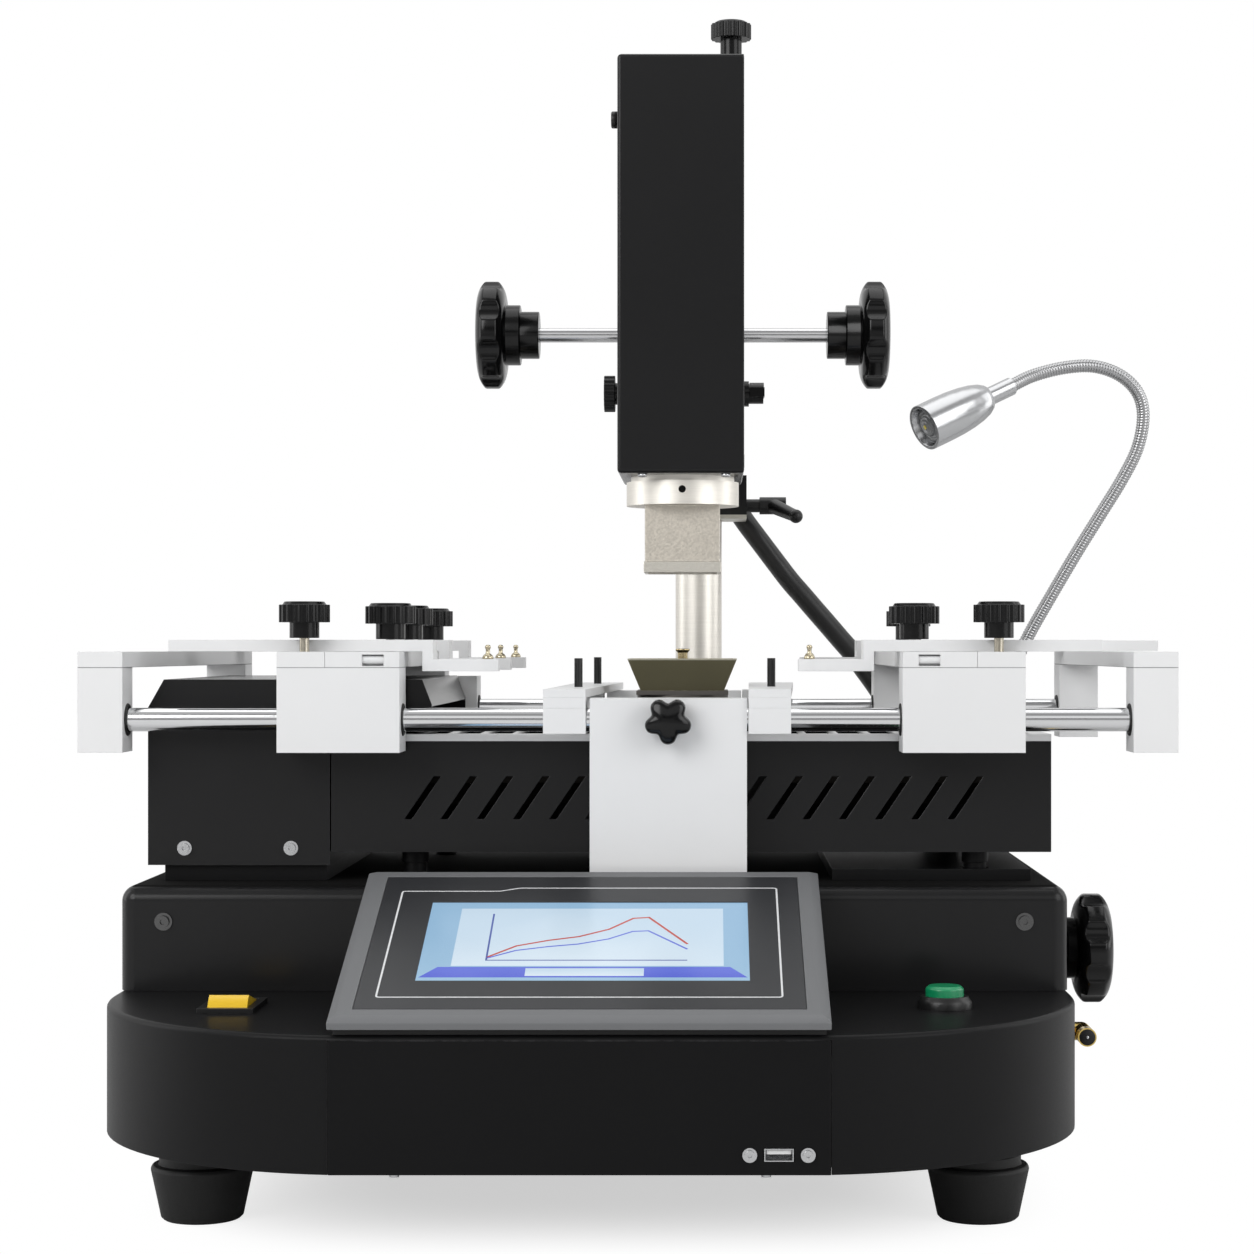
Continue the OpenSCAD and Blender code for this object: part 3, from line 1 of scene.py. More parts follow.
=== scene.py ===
import math

import bmesh
import bpy
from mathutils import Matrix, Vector


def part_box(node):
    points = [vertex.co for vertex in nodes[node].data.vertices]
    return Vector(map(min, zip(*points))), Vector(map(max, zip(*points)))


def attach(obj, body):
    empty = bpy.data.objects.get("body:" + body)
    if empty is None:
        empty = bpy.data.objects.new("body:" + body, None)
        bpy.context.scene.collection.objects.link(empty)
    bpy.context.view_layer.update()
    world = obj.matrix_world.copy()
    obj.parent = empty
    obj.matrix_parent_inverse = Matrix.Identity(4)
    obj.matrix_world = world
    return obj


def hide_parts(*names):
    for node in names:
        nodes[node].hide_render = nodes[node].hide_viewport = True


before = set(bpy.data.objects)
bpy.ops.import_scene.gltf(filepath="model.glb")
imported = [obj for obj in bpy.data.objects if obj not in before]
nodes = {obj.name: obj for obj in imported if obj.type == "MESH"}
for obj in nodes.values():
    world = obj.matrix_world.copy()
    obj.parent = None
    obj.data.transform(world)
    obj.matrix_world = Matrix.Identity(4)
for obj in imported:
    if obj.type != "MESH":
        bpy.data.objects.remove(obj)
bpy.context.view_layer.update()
print("frame loaded", len(nodes), "nodes")

# the machine's own lines: X from its centre line, Y from the front panel, Z from the floor, all in mm
baseLow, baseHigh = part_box("base_shell")
lineX = (baseLow.x + baseHigh.x) / 2
lineY = baseLow.y


def at(x, y, z):  # a point given in the machine's lines, in the frame's metres
    return Vector((lineX + x / 1000, lineY + y / 1000, z / 1000))


def middle(node):
    low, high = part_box(node)
    return (low + high) / 2


# camera: level, a little right of the machine's centre line
cameraView = {"place": (57.7, -1210, 280.4), "lens": 77.5, "shift": (-0.0646, 0.0144)}
cameraData = bpy.data.cameras.new("camera")
cameraData.lens = cameraView["lens"]
cameraData.sensor_width = 36
cameraData.shift_x, cameraData.shift_y = cameraView["shift"]
cameraData.clip_end = 20
camera = bpy.data.objects.new("camera", cameraData)
camera.location = at(*cameraView["place"])
camera.rotation_euler = (math.radians(90), 0, 0)
bpy.context.scene.collection.objects.link(camera)
bpy.context.scene.camera = camera


# shader helpers
def nodeTree(name):
    mat = bpy.data.materials.new(name)
    mat.use_nodes = True
    tree = mat.node_tree
    return mat, tree, tree.nodes["Principled BSDF"]


def addNode(tree, kind, **values):
    node = tree.nodes.new(kind)
    for key, value in values.items():
        setattr(node, key, value)
    return node


def mathNode(tree, operation):
    return addNode(tree, "ShaderNodeMath", operation=operation)


def vectorNode(tree, operation):
    return addNode(tree, "ShaderNodeVectorMath", operation=operation)


def wire(first, output, second, socket):
    first.id_data.links.new(first.outputs[output], second.inputs[socket])


def setPlug(node, socket, value):
    node.inputs[socket].default_value = value


def setInputs(node, **values):
    for key, value in values.items():
        setPlug(node, key.replace("_", " "), value)


def newGroup(name, inputs, outputs):
    group = bpy.data.node_groups.new(name, "ShaderNodeTree")
    for label, kind, value in inputs:
        socket = group.interface.new_socket(label, in_out="INPUT", socket_type=kind)
        socket.default_value = value
    for label, kind in outputs:
        group.interface.new_socket(label, in_out="OUTPUT", socket_type=kind)
    start = group.nodes.new("NodeGroupInput")
    end = group.nodes.new("NodeGroupOutput")
    return group, start, end


def useGroup(tree, group, **values):
    node = addNode(tree, "ShaderNodeGroup", node_tree=group)
    setInputs(node, **values)
    return node


number, colour, vector = "NodeSocketFloat", "NodeSocketColor", "NodeSocketVector"


# fine grain of a powder coat or a moulded skin: cloudy shade, rough spots and a height for bump
def makeGrainGroup():
    tree, start, end = newGroup(
        "coatGrain",
        [("Color", colour, (0.5, 0.5, 0.5, 1)), ("Size", number, 0.0005), ("Cloud", number, 0.08),
         ("Roughness", number, 0.5), ("Spread", number, 0.1)],
        [("Color", colour), ("Roughness", number), ("Height", number)])
    place = addNode(tree, "ShaderNodeTexCoord")
    scale = mathNode(tree, "DIVIDE")
    setPlug(scale, 0, 1.0)
    fine = addNode(tree, "ShaderNodeTexNoise")
    setInputs(fine, Detail=3.0, Roughness=0.6)
    wide = addNode(tree, "ShaderNodeTexNoise")
    setInputs(wide, Scale=26.0, Detail=3.0)
    tone = mathNode(tree, "MULTIPLY_ADD")
    half = mathNode(tree, "SUBTRACT")
    setPlug(half, 1, 0.5)
    mix = vectorNode(tree, "SCALE")
    rough = mathNode(tree, "MULTIPLY_ADD")
    fineHalf = mathNode(tree, "SUBTRACT")
    setPlug(fineHalf, 1, 0.5)
    wire(start, "Size", scale, 1)
    wire(place, "Object", fine, "Vector")
    wire(place, "Object", wide, "Vector")
    wire(scale, 0, fine, "Scale")
    wire(wide, "Fac", half, 0)
    wire(half, 0, tone, 0)
    wire(start, "Cloud", tone, 1)
    setPlug(tone, 2, 1.0)
    wire(start, "Color", mix, 0)
    wire(tone, 0, mix, "Scale")
    wire(fine, "Fac", fineHalf, 0)
    wire(fineHalf, 0, rough, 0)
    wire(start, "Spread", rough, 1)
    wire(start, "Roughness", rough, 2)
    wire(mix, 0, end, "Color")
    wire(rough, 0, end, "Roughness")
    wire(fine, "Fac", end, "Height")
    return tree


# edges: a mask where the bevelled normal leaves the face normal, broken up by noise; it tints real wear on
# most finishes and paints a highlight on the bronze and nozzle edges
def makeEdgeGroup():
    tree, start, end = newGroup(
        "edgeWearAndHighlight",
        [("Radius", number, 0.0008), ("Amount", number, 0.5), ("Break", number, 220.0)],
        [("Mask", number)])
    bevel = addNode(tree, "ShaderNodeBevel", samples=4)
    shape = addNode(tree, "ShaderNodeNewGeometry")
    dot = vectorNode(tree, "DOT_PRODUCT")
    curve = addNode(tree, "ShaderNodeMapRange")
    setInputs(curve, From_Min=0.995, From_Max=0.9, To_Min=0.0, To_Max=1.0)
    place = addNode(tree, "ShaderNodeTexCoord")
    noise = addNode(tree, "ShaderNodeTexNoise")
    setInputs(noise, Detail=4.0)
    cut = addNode(tree, "ShaderNodeMapRange")
    setInputs(cut, From_Min=0.35, From_Max=0.7, To_Min=0.0, To_Max=1.0)
    both = mathNode(tree, "MULTIPLY")
    total = mathNode(tree, "MULTIPLY")
    wire(start, "Radius", bevel, "Radius")
    wire(bevel, "Normal", dot, 0)
    wire(shape, "Normal", dot, 1)
    wire(dot, "Value", curve, "Value")
    wire(place, "Object", noise, "Vector")
    wire(start, "Break", noise, "Scale")
    wire(noise, "Fac", cut, "Value")
    wire(curve, "Result", both, 0)
    wire(cut, "Result", both, 1)
    wire(both, 0, total, 0)
    wire(start, "Amount", total, 1)
    wire(total, 0, end, "Mask")
    return tree


# turned or brushed metal: fine lines along one direction, with a roughness and a height
def makeBrushGroup():
    tree, start, end = newGroup(
        "brushLines",
        [("Color", colour, (0.6, 0.6, 0.6, 1)), ("Stretch", vector, (900.0, 40.0, 900.0)),
         ("Contrast", number, 0.12), ("Roughness", number, 0.25), ("Spread", number, 0.15)],
        [("Color", colour), ("Roughness", number), ("Height", number)])
    place = addNode(tree, "ShaderNodeTexCoord")
    stretch = vectorNode(tree, "MULTIPLY")
    lines = addNode(tree, "ShaderNodeTexNoise")
    setInputs(lines, Scale=1.0, Detail=2.0)
    half = mathNode(tree, "SUBTRACT")
    setPlug(half, 1, 0.5)
    tone = mathNode(tree, "MULTIPLY_ADD")
    setPlug(tone, 2, 1.0)
    mix = vectorNode(tree, "SCALE")
    rough = mathNode(tree, "MULTIPLY_ADD")
    wire(place, "Object", stretch, 0)
    wire(start, "Stretch", stretch, 1)
    wire(stretch, 0, lines, "Vector")
    wire(lines, "Fac", half, 0)
    wire(half, 0, tone, 0)
    wire(start, "Contrast", tone, 1)
    wire(start, "Color", mix, 0)
    wire(tone, 0, mix, "Scale")
    wire(half, 0, rough, 0)
    wire(start, "Spread", rough, 1)
    wire(start, "Roughness", rough, 2)
    wire(mix, 0, end, "Color")
    wire(rough, 0, end, "Roughness")
    wire(lines, "Fac", end, "Height")
    return tree


grainGroup = makeGrainGroup()
edgeGroup = makeEdgeGroup()
brushGroup = makeBrushGroup()


def addBump(tree, height, shader, strength, distance):
    bump = addNode(tree, "ShaderNodeBump")
    setInputs(bump, Strength=strength, Distance=distance)
    tree.links.new(height, bump.inputs["Height"])
    wire(bump, "Normal", shader, "Normal")


def mixColours(tree, mask, first, second):
    mix = addNode(tree, "ShaderNodeMix", data_type="RGBA")
    tree.links.new(mask, mix.inputs["Factor"])
    tree.links.new(first, mix.inputs[6])
    setPlug(mix, 7, second)
    return mix.outputs[2]


# painted or moulded skins
def coatMaterial(name, color, size, roughness, spread=0.12, cloud=0.1, bump=0.25, depth=0.00006,
                 wearAndHighlight=0.25, wearAndHighlightColor=(0.2, 0.2, 0.2, 1), coat=0.0, coatRough=0.03, coatIor=1.5,
                 specular=0.5):
    mat, tree, shader = nodeTree(name)
    grain = useGroup(tree, grainGroup, Color=(*color, 1), Size=size, Cloud=cloud,
                     Roughness=roughness, Spread=spread)
    # the edges take the second colour: real wear on most coats, a painted highlight on the bronze
    edge = useGroup(tree, edgeGroup, Radius=0.0007, Amount=wearAndHighlight)
    tint = mixColours(tree, edge.outputs["Mask"], grain.outputs["Color"], wearAndHighlightColor)
    tree.links.new(tint, shader.inputs["Base Color"])
    wire(grain, "Roughness", shader, "Roughness")
    addBump(tree, grain.outputs["Height"], shader, bump, depth)
    setInputs(shader, Specular_IOR_Level=specular, Coat_Weight=coat, Coat_Roughness=coatRough,
              Coat_IOR=coatIor)
    return mat


# bare metals
def metalMaterial(name, color, stretch, roughness, spread=0.12, contrast=0.15, bump=0.08, depth=0.00002,
                  metal=1.0, edge=0.0):
    mat, tree, shader = nodeTree(name)
    brush = useGroup(tree, brushGroup, Color=(*color, 1), Contrast=contrast, Roughness=roughness,
                     Spread=spread)
    setPlug(brush, "Stretch", stretch)
    tint = brush.outputs["Color"]
    # painted highlight: with edge set, the edges are lightened towards a pale metal
    if edge:
        paintedEdgeHighlight = useGroup(tree, edgeGroup, Radius=0.0009, Amount=edge, Break=90.0)
        tint = mixColours(tree, paintedEdgeHighlight.outputs["Mask"], tint, (0.93, 0.91, 0.86, 1))
    tree.links.new(tint, shader.inputs["Base Color"])
    wire(brush, "Roughness", shader, "Roughness")
    setInputs(shader, Metallic=metal)
    addBump(tree, brush.outputs["Height"], shader, bump, depth)
    return mat


# a box in the part's own coordinates, for a piece whose solids have two finishes
def makeBoxGroup():
    group, start, end = newGroup(
        "boxMask", [("Low", vector, (0, 0, 0)), ("High", vector, (1, 1, 1))], [("Mask", number)])
    place = addNode(group, "ShaderNodeTexCoord")
    above = vectorNode(group, "SUBTRACT")
    below = vectorNode(group, "SUBTRACT")
    least = vectorNode(group, "MINIMUM")
    split = addNode(group, "ShaderNodeSeparateXYZ")
    first = mathNode(group, "MINIMUM")
    second = mathNode(group, "MINIMUM")
    inside = mathNode(group, "GREATER_THAN")
    setPlug(inside, 1, 0.0)
    wire(place, "Object", above, 0)
    wire(start, "Low", above, 1)
    wire(start, "High", below, 0)
    wire(place, "Object", below, 1)
    wire(above, 0, least, 0)
    wire(below, 0, least, 1)
    wire(least, 0, split, 0)
    wire(split, "X", first, 0)
    wire(split, "Y", first, 1)
    wire(first, 0, second, 0)
    wire(split, "Z", second, 1)
    wire(second, 0, inside, 0)
    wire(inside, 0, end, "Mask")
    return group


boxGroup = makeBoxGroup()


# a copy of a finish with a second colour, gloss and metal inside a box in the machine's lines
def twoToneMaterial(name, base, low, high, color, roughness, metal):
    mat = base.copy()
    mat.name = name
    tree = mat.node_tree
    shader = tree.nodes["Principled BSDF"]
    mask = useGroup(tree, boxGroup)
    setPlug(mask, "Low", at(*low))
    setPlug(mask, "High", at(*high))
    for socket, value in (("Base Color", (*color, 1)), ("Roughness", roughness), ("Metallic", metal),
                          ("Coat Weight", 0.0)):
        plug = shader.inputs[socket]
        kind = "RGBA" if socket == "Base Color" else "FLOAT"
        pins = (6, 7, 2) if kind == "RGBA" else (2, 3, 0)
        mix = addNode(tree, "ShaderNodeMix", data_type=kind)
        wire(mask, "Mask", mix, "Factor")
        if plug.is_linked:
            tree.links.new(plug.links[0].from_socket, mix.inputs[pins[0]])
        else:
            mix.inputs[pins[0]].default_value = plug.default_value
        mix.inputs[pins[1]].default_value = value
        tree.links.new(mix.outputs[pins[2]], plug)
    return mat


blackCoat = coatMaterial("blackCoat", (0.0078, 0.0078, 0.0083), 0.0007, 0.42, spread=0.16, cloud=0.25,
                         bump=0.35, depth=0.00008, wearAndHighlight=0.4, wearAndHighlightColor=(0.06, 0.06, 0.062, 1), specular=0.12,
                         coat=0.8, coatRough=0.2, coatIor=1.28)
frontCoat = coatMaterial("frontCoat", (0.0055, 0.0055, 0.0059), 0.0006, 0.5, spread=0.12, cloud=0.2,
                         bump=0.25, depth=0.00006, wearAndHighlight=0.3, wearAndHighlightColor=(0.05, 0.05, 0.05, 1), specular=0.1)
baseCoat = coatMaterial("baseCoat", (0.006, 0.006, 0.0064), 0.0007, 0.45, spread=0.16, cloud=0.25,
                        bump=0.35, depth=0.00008, wearAndHighlight=0.4, wearAndHighlightColor=(0.06, 0.06, 0.062, 1), specular=0.1,
                        coat=0.16, coatRough=0.26, coatIor=1.25)
innerSheet = coatMaterial("innerSheet", (0.012, 0.012, 0.0125), 0.0012, 0.55, wearAndHighlight=0.2, specular=0.3)
footRubber = coatMaterial("footRubber", (0.008, 0.008, 0.008), 0.0011, 0.56, spread=0.2, cloud=0.4,
                          bump=0.3, depth=0.0001, wearAndHighlight=0.25, wearAndHighlightColor=(0.03, 0.03, 0.03, 1), specular=0.4)
whitePaint = coatMaterial("whitePaint", (0.79, 0.793, 0.798), 0.0006, 0.42, spread=0.14, cloud=0.04,
                          bump=0.3, depth=0.00005, wearAndHighlight=0.3, wearAndHighlightColor=(0.55, 0.55, 0.56, 1))
glossBlack = coatMaterial("glossBlack", (0.0035, 0.0035, 0.0037), 0.0016, 0.2, spread=0.08, cloud=0.3,
                          bump=0.06, depth=0.00004, wearAndHighlight=0.12, wearAndHighlightColor=(0.03, 0.03, 0.03, 1),
                          specular=0.28)
wheelBlack = coatMaterial("wheelBlack", (0.003, 0.003, 0.0032), 0.0016, 0.17, spread=0.06, cloud=0.3,
                          bump=0.05, depth=0.00004, wearAndHighlight=0.1, wearAndHighlightColor=(0.03, 0.03, 0.03, 1),
                          specular=0.3)
satinBlack = coatMaterial("satinBlack", (0.008, 0.008, 0.0082), 0.0009, 0.36, wearAndHighlight=0.3, specular=0.4)
greyBezel = coatMaterial("greyBezel", (0.15, 0.154, 0.16), 0.0005, 0.48, spread=0.1, cloud=0.08,
                         bump=0.2, depth=0.00004, wearAndHighlight=0.55, wearAndHighlightColor=(0.3, 0.3, 0.31, 1), specular=0.4)
overlayFilm = coatMaterial("overlayFilm", (0.026, 0.027, 0.03), 0.0004, 0.34, spread=0.08, cloud=0.08,
                           bump=0.12, depth=0.00002, wearAndHighlight=0.1, specular=0.4)
yellowPlastic = coatMaterial("yellowPlastic", (0.83, 0.53, 0.01), 0.0008, 0.3, cloud=0.06, wearAndHighlight=0.12,
                             wearAndHighlightColor=(0.9, 0.68, 0.2, 1), coat=0.2)
greenPlastic = coatMaterial("greenPlastic", (0.004, 0.27, 0.105), 0.0008, 0.3, cloud=0.08, wearAndHighlight=0.15,
                            wearAndHighlightColor=(0.1, 0.45, 0.25, 1), coat=0.25)
ceramic = coatMaterial("ceramic", (0.011, 0.01, 0.009), 0.002, 0.9, cloud=0.3, wearAndHighlight=0.0, specular=0.0)
hoseRubber = coatMaterial("hoseRubber", (0.007, 0.007, 0.0072), 0.001, 0.36, cloud=0.3, wearAndHighlight=0.0)
# painted highlight: the pale edge colour at full amount lightens the bronze's edges
bronze = coatMaterial("bronze", (0.122, 0.111, 0.064), 0.0007, 0.42, spread=0.2, cloud=0.3, bump=0.2,
                      depth=0.00006, wearAndHighlight=1.0, wearAndHighlightColor=(0.62, 0.58, 0.47, 1))

chrome = metalMaterial("chrome", (0.72, 0.725, 0.735), (30, 1400, 1400), 0.12, spread=0.06, contrast=0.1)
shaftSteel = metalMaterial("shaftSteel", (0.6, 0.6, 0.61), (30, 1400, 1400), 0.17, contrast=0.15)
steel = metalMaterial("steel", (0.56, 0.565, 0.575), (900, 900, 900), 0.26)
silverSheet = metalMaterial("silverSheet", (0.8, 0.805, 0.81), (24, 900, 900), 0.36, contrast=0.14,
                            metal=0.55)
satinNickel = metalMaterial("satinNickel", (0.82, 0.79, 0.73), (60, 60, 1300), 0.42, spread=0.1,
                            contrast=0.16)
# painted highlight on the nozzle's edges (edge=1.0)
nozzleSteel = metalMaterial("nozzleSteel", (0.58, 0.54, 0.475), (760, 760, 760), 0.5, spread=0.2,
                            contrast=0.5, bump=0.6, depth=0.0003, edge=1.0)
brass = metalMaterial("brass", (0.55, 0.45, 0.26), (800, 800, 800), 0.24)
barbBrass = metalMaterial("barbBrass", (0.66, 0.48, 0.15), (800, 800, 800), 0.22)
heaterSteel = metalMaterial("heaterSteel", (0.16, 0.15, 0.14), (60, 60, 900), 0.42)
fanAlu = metalMaterial("fanAlu", (0.4, 0.41, 0.42), (900, 40, 900), 0.36)
fittingGrey = metalMaterial("fittingGrey", (0.3, 0.305, 0.31), (60, 60, 1000), 0.38)
lampAlu = metalMaterial("lampAlu", (0.5, 0.505, 0.515), (700, 700, 700), 0.24, spread=0.06,
                        contrast=0.08, bump=0.02)
neckSteel = metalMaterial("neckSteel", (0.4, 0.402, 0.408), (500, 500, 500), 0.22, contrast=0.08, bump=0.02)
print("finishes ready")

# air hose: from the lug on the column's cap down to its gland on the tier
hose = {"exit": (70, 456, 389), "thick": 12.6, "long": 0.256, "route": [
    (0, 0, 0), (0, 0, -4), (1.2, 0, -11.4), (3.7, 0, -19.6), (7.3, 0, -27.3), (10, -0.2, -31.5),
    (17, -0.6, -41), (24, -1, -50.3), (31, -1.5, -59.6), (38.2, -2, -69), (45.8, -3, -77.8),
    (53.4, -4, -86.7), (61, -5, -95.5), (69, -6.5, -104.9), (77, -8, -114.3), (83.8, -9.5, -123.7),
    (90.4, -11, -133), (97, -12.5, -143), (103.4, -14, -153.5), (109.4, -15.5, -164.5),
    (114.8, -17, -176), (119.3, -18.2, -188), (122.6, -19.2, -200), (125, -20, -210.5), (125, -20, -216.6)]}


def smoothRoute(points, steps):  # points on a smooth curve through the given ones
    result = []
    for i in range(len(points) - 1):
        p0 = points[max(i - 1, 0)]
        p1 = points[i]
        p2 = points[i + 1]
        p3 = points[min(i + 2, len(points) - 1)]
        for k in range(steps):
            t = k / steps
            result.append(0.5 * (2 * p1 + (p2 - p0) * t + (2 * p0 - 5 * p1 + 4 * p2 - p3) * t ** 2
                                 + (3 * p1 - p0 - 3 * p2 + p3) * t ** 3))
    result.append(points[-1])
    return result


def makeHose():
    ex, ey, ez = hose["exit"]
    points = [at(ex + x, ey + y, ez + z) for x, y, z in hose["route"]]
    data = bpy.data.curves.new("hose_curve", "CURVE")
    data.dimensions = "3D"
    data.bevel_depth = hose["thick"] / 2000
    data.bevel_resolution = 6
    data.use_fill_caps = True
    data.resolution_u = 8
    spline = data.splines.new("BEZIER")
    spline.bezier_points.add(len(points) - 1)
    for knot, point in zip(spline.bezier_points, points):
        knot.co = point
        knot.handle_left_type = knot.handle_right_type = "AUTO"
    obj = bpy.data.objects.new("air_hose_run", data)
    bpy.context.scene.collection.objects.link(obj)
    obj.data.materials.append(hoseRubber)
    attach(obj, "root")
    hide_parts("air_hose")


makeHose()
print("hose laid")

# stage: pale floor, soft lamps, white surroundings
stageLook = {"floor": 0.8, "lift": 0.58, "ambient": 0.42, "backGlow": 0.85,
             "boxes": [(-1, 0.3), (-0.2, 0.75), (-0.06, 0.6), (0.045, 0.6), (0.09, 0.08), (0.2, 0.08),
                       (0.26, 0.9), (0.56, 0.9), (0.72, 0.25), (1, 0.5)],
             "middle": (-0.03, 0.03, 0), "half": (0.3, 0.3, 1), "near": 0.12, "far": 0.68}


def makeFloor():
    reach = 6.0
    corners = [(-reach, -reach, 0), (reach, -reach, 0), (reach, reach, 0), (-reach, reach, 0)]
    data = bpy.data.meshes.new("floor")
    data.from_pydata(corners, [], [(0, 1, 2, 3)])
    obj = bpy.data.objects.new("floor", data)
    bpy.context.scene.collection.objects.link(obj)
    mat, tree, shader = nodeTree("floorPaper")
    grain = useGroup(tree, grainGroup, Color=(stageLook["floor"],) * 3 + (1,), Size=0.004, Cloud=0.01,
                     Roughness=0.9, Spread=0.05)
    wire(grain, "Color", shader, "Base Color")
    wire(grain, "Roughness", shader, "Roughness")
    setInputs(shader, Specular_IOR_Level=0.0)
    glow = addNode(tree, "ShaderNodeEmission")
    rays = addNode(tree, "ShaderNodeLightPath")
    add = addNode(tree, "ShaderNodeAddShader")
    level = mathNode(tree, "MULTIPLY")
    setPlug(level, 1, stageLook["lift"])
    wire(rays, "Is Camera Ray", level, 0)
    wire(level, 0, glow, "Strength")
    wire(shader, 0, add, 0)
    wire(glow, 0, add, 1)
    # the paper fades to white away from the machine
    place = addNode(tree, "ShaderNodeTexCoord")
    shift = vectorNode(tree, "SUBTRACT")
    setPlug(shift, 1, stageLook["middle"])
    share = vectorNode(tree, "DIVIDE")
    setPlug(share, 1, stageLook["half"])
    square = vectorNode(tree, "MULTIPLY")
    away = vectorNode(tree, "LENGTH")
    fade = addNode(tree, "ShaderNodeMapRange", interpolation_type="SMOOTHSTEP")
    setInputs(fade, From_Min=stageLook["near"], From_Max=stageLook["far"])
    seen = mathNode(tree, "MULTIPLY")
    paper = addNode(tree, "ShaderNodeEmission")
    blend = addNode(tree, "ShaderNodeMixShader")
    wire(place, "Object", shift, 0)
    wire(shift, 0, share, 0)
    wire(share, 0, square, 0)
    wire(share, 0, square, 1)
    wire(square, 0, away, 0)
    wire(away, "Value", fade, "Value")
    wire(fade, "Result", seen, 0)
    wire(rays, "Is Camera Ray", seen, 1)
    wire(seen, 0, blend, "Fac")
    wire(add, 0, blend, 1)
    wire(paper, 0, blend, 2)
    wire(blend, 0, tree.nodes["Material Output"], "Surface")
    data.materials.append(mat)


def makeWorld():
    world = bpy.data.worlds.new("studio")
    bpy.context.scene.world = world
    world.use_nodes = True
    tree = world.node_tree
    back = tree.nodes["Background"]
    setPlug(back, "Color", (1, 1, 1, 1))
    rays = addNode(tree, "ShaderNodeLightPath")
    place = addNode(tree, "ShaderNodeTexCoord")
    split = addNode(tree, "ShaderNodeSeparateXYZ")
    # softboxes on the camera's side with dark gaps, for the gloss
    front = addNode(tree, "ShaderNodeValToRGB")
    level = addNode(tree, "ShaderNodeMapRange")
    setInputs(level, From_Min=-1.0, From_Max=1.0)
    stops = front.color_ramp.elements
    while len(stops) < len(stageLook["boxes"]):
        stops.new(0.5)
    for stop, (height, glow) in zip(stops, stageLook["boxes"]):
        stop.position = (height + 1) / 2
        stop.color = (glow, glow, glow, 1)
    ramp = addNode(tree, "ShaderNodeMapRange")
    setInputs(ramp, From_Min=-0.7, From_Max=0.25)
    around = addNode(tree, "ShaderNodeMix", data_type="FLOAT")
    setPlug(around, 3, stageLook["backGlow"])
    shine = mathNode(tree, "MAXIMUM")
    fill = addNode(tree, "ShaderNodeMix", data_type="FLOAT")
    setPlug(fill, 2, stageLook["ambient"])
    seen = addNode(tree, "ShaderNodeMix", data_type="FLOAT")
    setPlug(seen, 3, 1.0)
    wire(place, "Generated", split, 0)
    wire(split, "Z", level, "Value")
    wire(level, "Result", front, "Fac")
    wire(split, "Y", ramp, "Value")
    wire(ramp, "Result", around, "Factor")
    wire(front, "Color", around, 2)
    wire(rays, "Is Glossy Ray", shine, 0)
    wire(rays, "Is Transmission Ray", shine, 1)
    wire(shine, 0, fill, "Factor")
    wire(around, 0, fill, 3)
    wire(rays, "Is Camera Ray", seen, "Factor")
    wire(fill, 0, seen, 2)
    wire(seen, 0, back, "Strength")


lamps = [  # name, place, point it looks at, width, height, power
    ("keyLamp", (-1.5, -2.0, 1.5), (0, 0, 0.25), 1.6, 1.6, 35),
    ("fillLamp", (1.9, -1.5, 1.1), (0, 0, 0.25), 1.4, 1.8, 19),
    ("topLamp", (0.1, 0.3, 2.3), (0, 0, 0.2), 2.2, 1.4, 11),
    ("leftStrip", (-1.9, 0.2, 0.9), (0, 0, 0.25), 0.7, 1.8, 7),
    ("rightStrip", (1.9, 0.4, 0.9), (0, 0, 0.25), 0.7, 1.8, 6),
]


def makeLamps():
    for name, place, target, width, height, power in lamps:
        data = bpy.data.lights.new(name, "AREA")
        data.shape = "RECTANGLE"
        data.size, data.size_y = width, height
        data.energy = power
        obj = bpy.data.objects.new(name, data)
        obj.location = place
        obj.rotation_euler = (Vector(target) - Vector(place)).to_track_quat("-Z", "Y").to_euler()
        bpy.context.scene.collection.objects.link(obj)


makeFloor()
makeWorld()
makeLamps()
bpy.context.scene.view_settings.view_transform = "Standard"
print("stage lit")

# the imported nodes: a finish and a small soft edge each
armBrass = {"low": 273.21, "tip": 30, "leftEdge": -98, "rightEdge": 156, "tone": (0.52, 0.46, 0.33)}
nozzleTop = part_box("lower_nozzle")[1].z * 1000
seamPaint = twoToneMaterial("seamPaint", whitePaint, (-400, 0, 268.8), (400, 500, 269.25),
                            (0.34, 0.34, 0.345), 0.6, 0.0)
leftArmPaint = twoToneMaterial("leftArmPaint", whitePaint,
                               (armBrass["leftEdge"] + armBrass["tip"], 0, armBrass["low"]),
                               (200, 500, 300), armBrass["tone"], 0.24, 1.0)
rightArmPaint = twoToneMaterial("rightArmPaint", whitePaint, (-200, 0, armBrass["low"]),
                                (armBrass["rightEdge"] - armBrass["tip"], 500, 300),
                                armBrass["tone"], 0.24, 1.0)
barPaint = twoToneMaterial("barPaint", whitePaint, (-300, 0, 258.05), (300, 500, 300),
                           (0.008, 0.008, 0.008), 0.3, 0.0)
carriagePaint = twoToneMaterial("carriagePaint", seamPaint, (-300, 0, 277.05), (300, 500, 320),
                                (0.5, 0.5, 0.51), 0.25, 1.0)
screwSteel = twoToneMaterial("screwSteel", steel, (-300, 60, 120), (300, 183, 150),
                             (0.12, 0.12, 0.12), 0.22, 1.0)
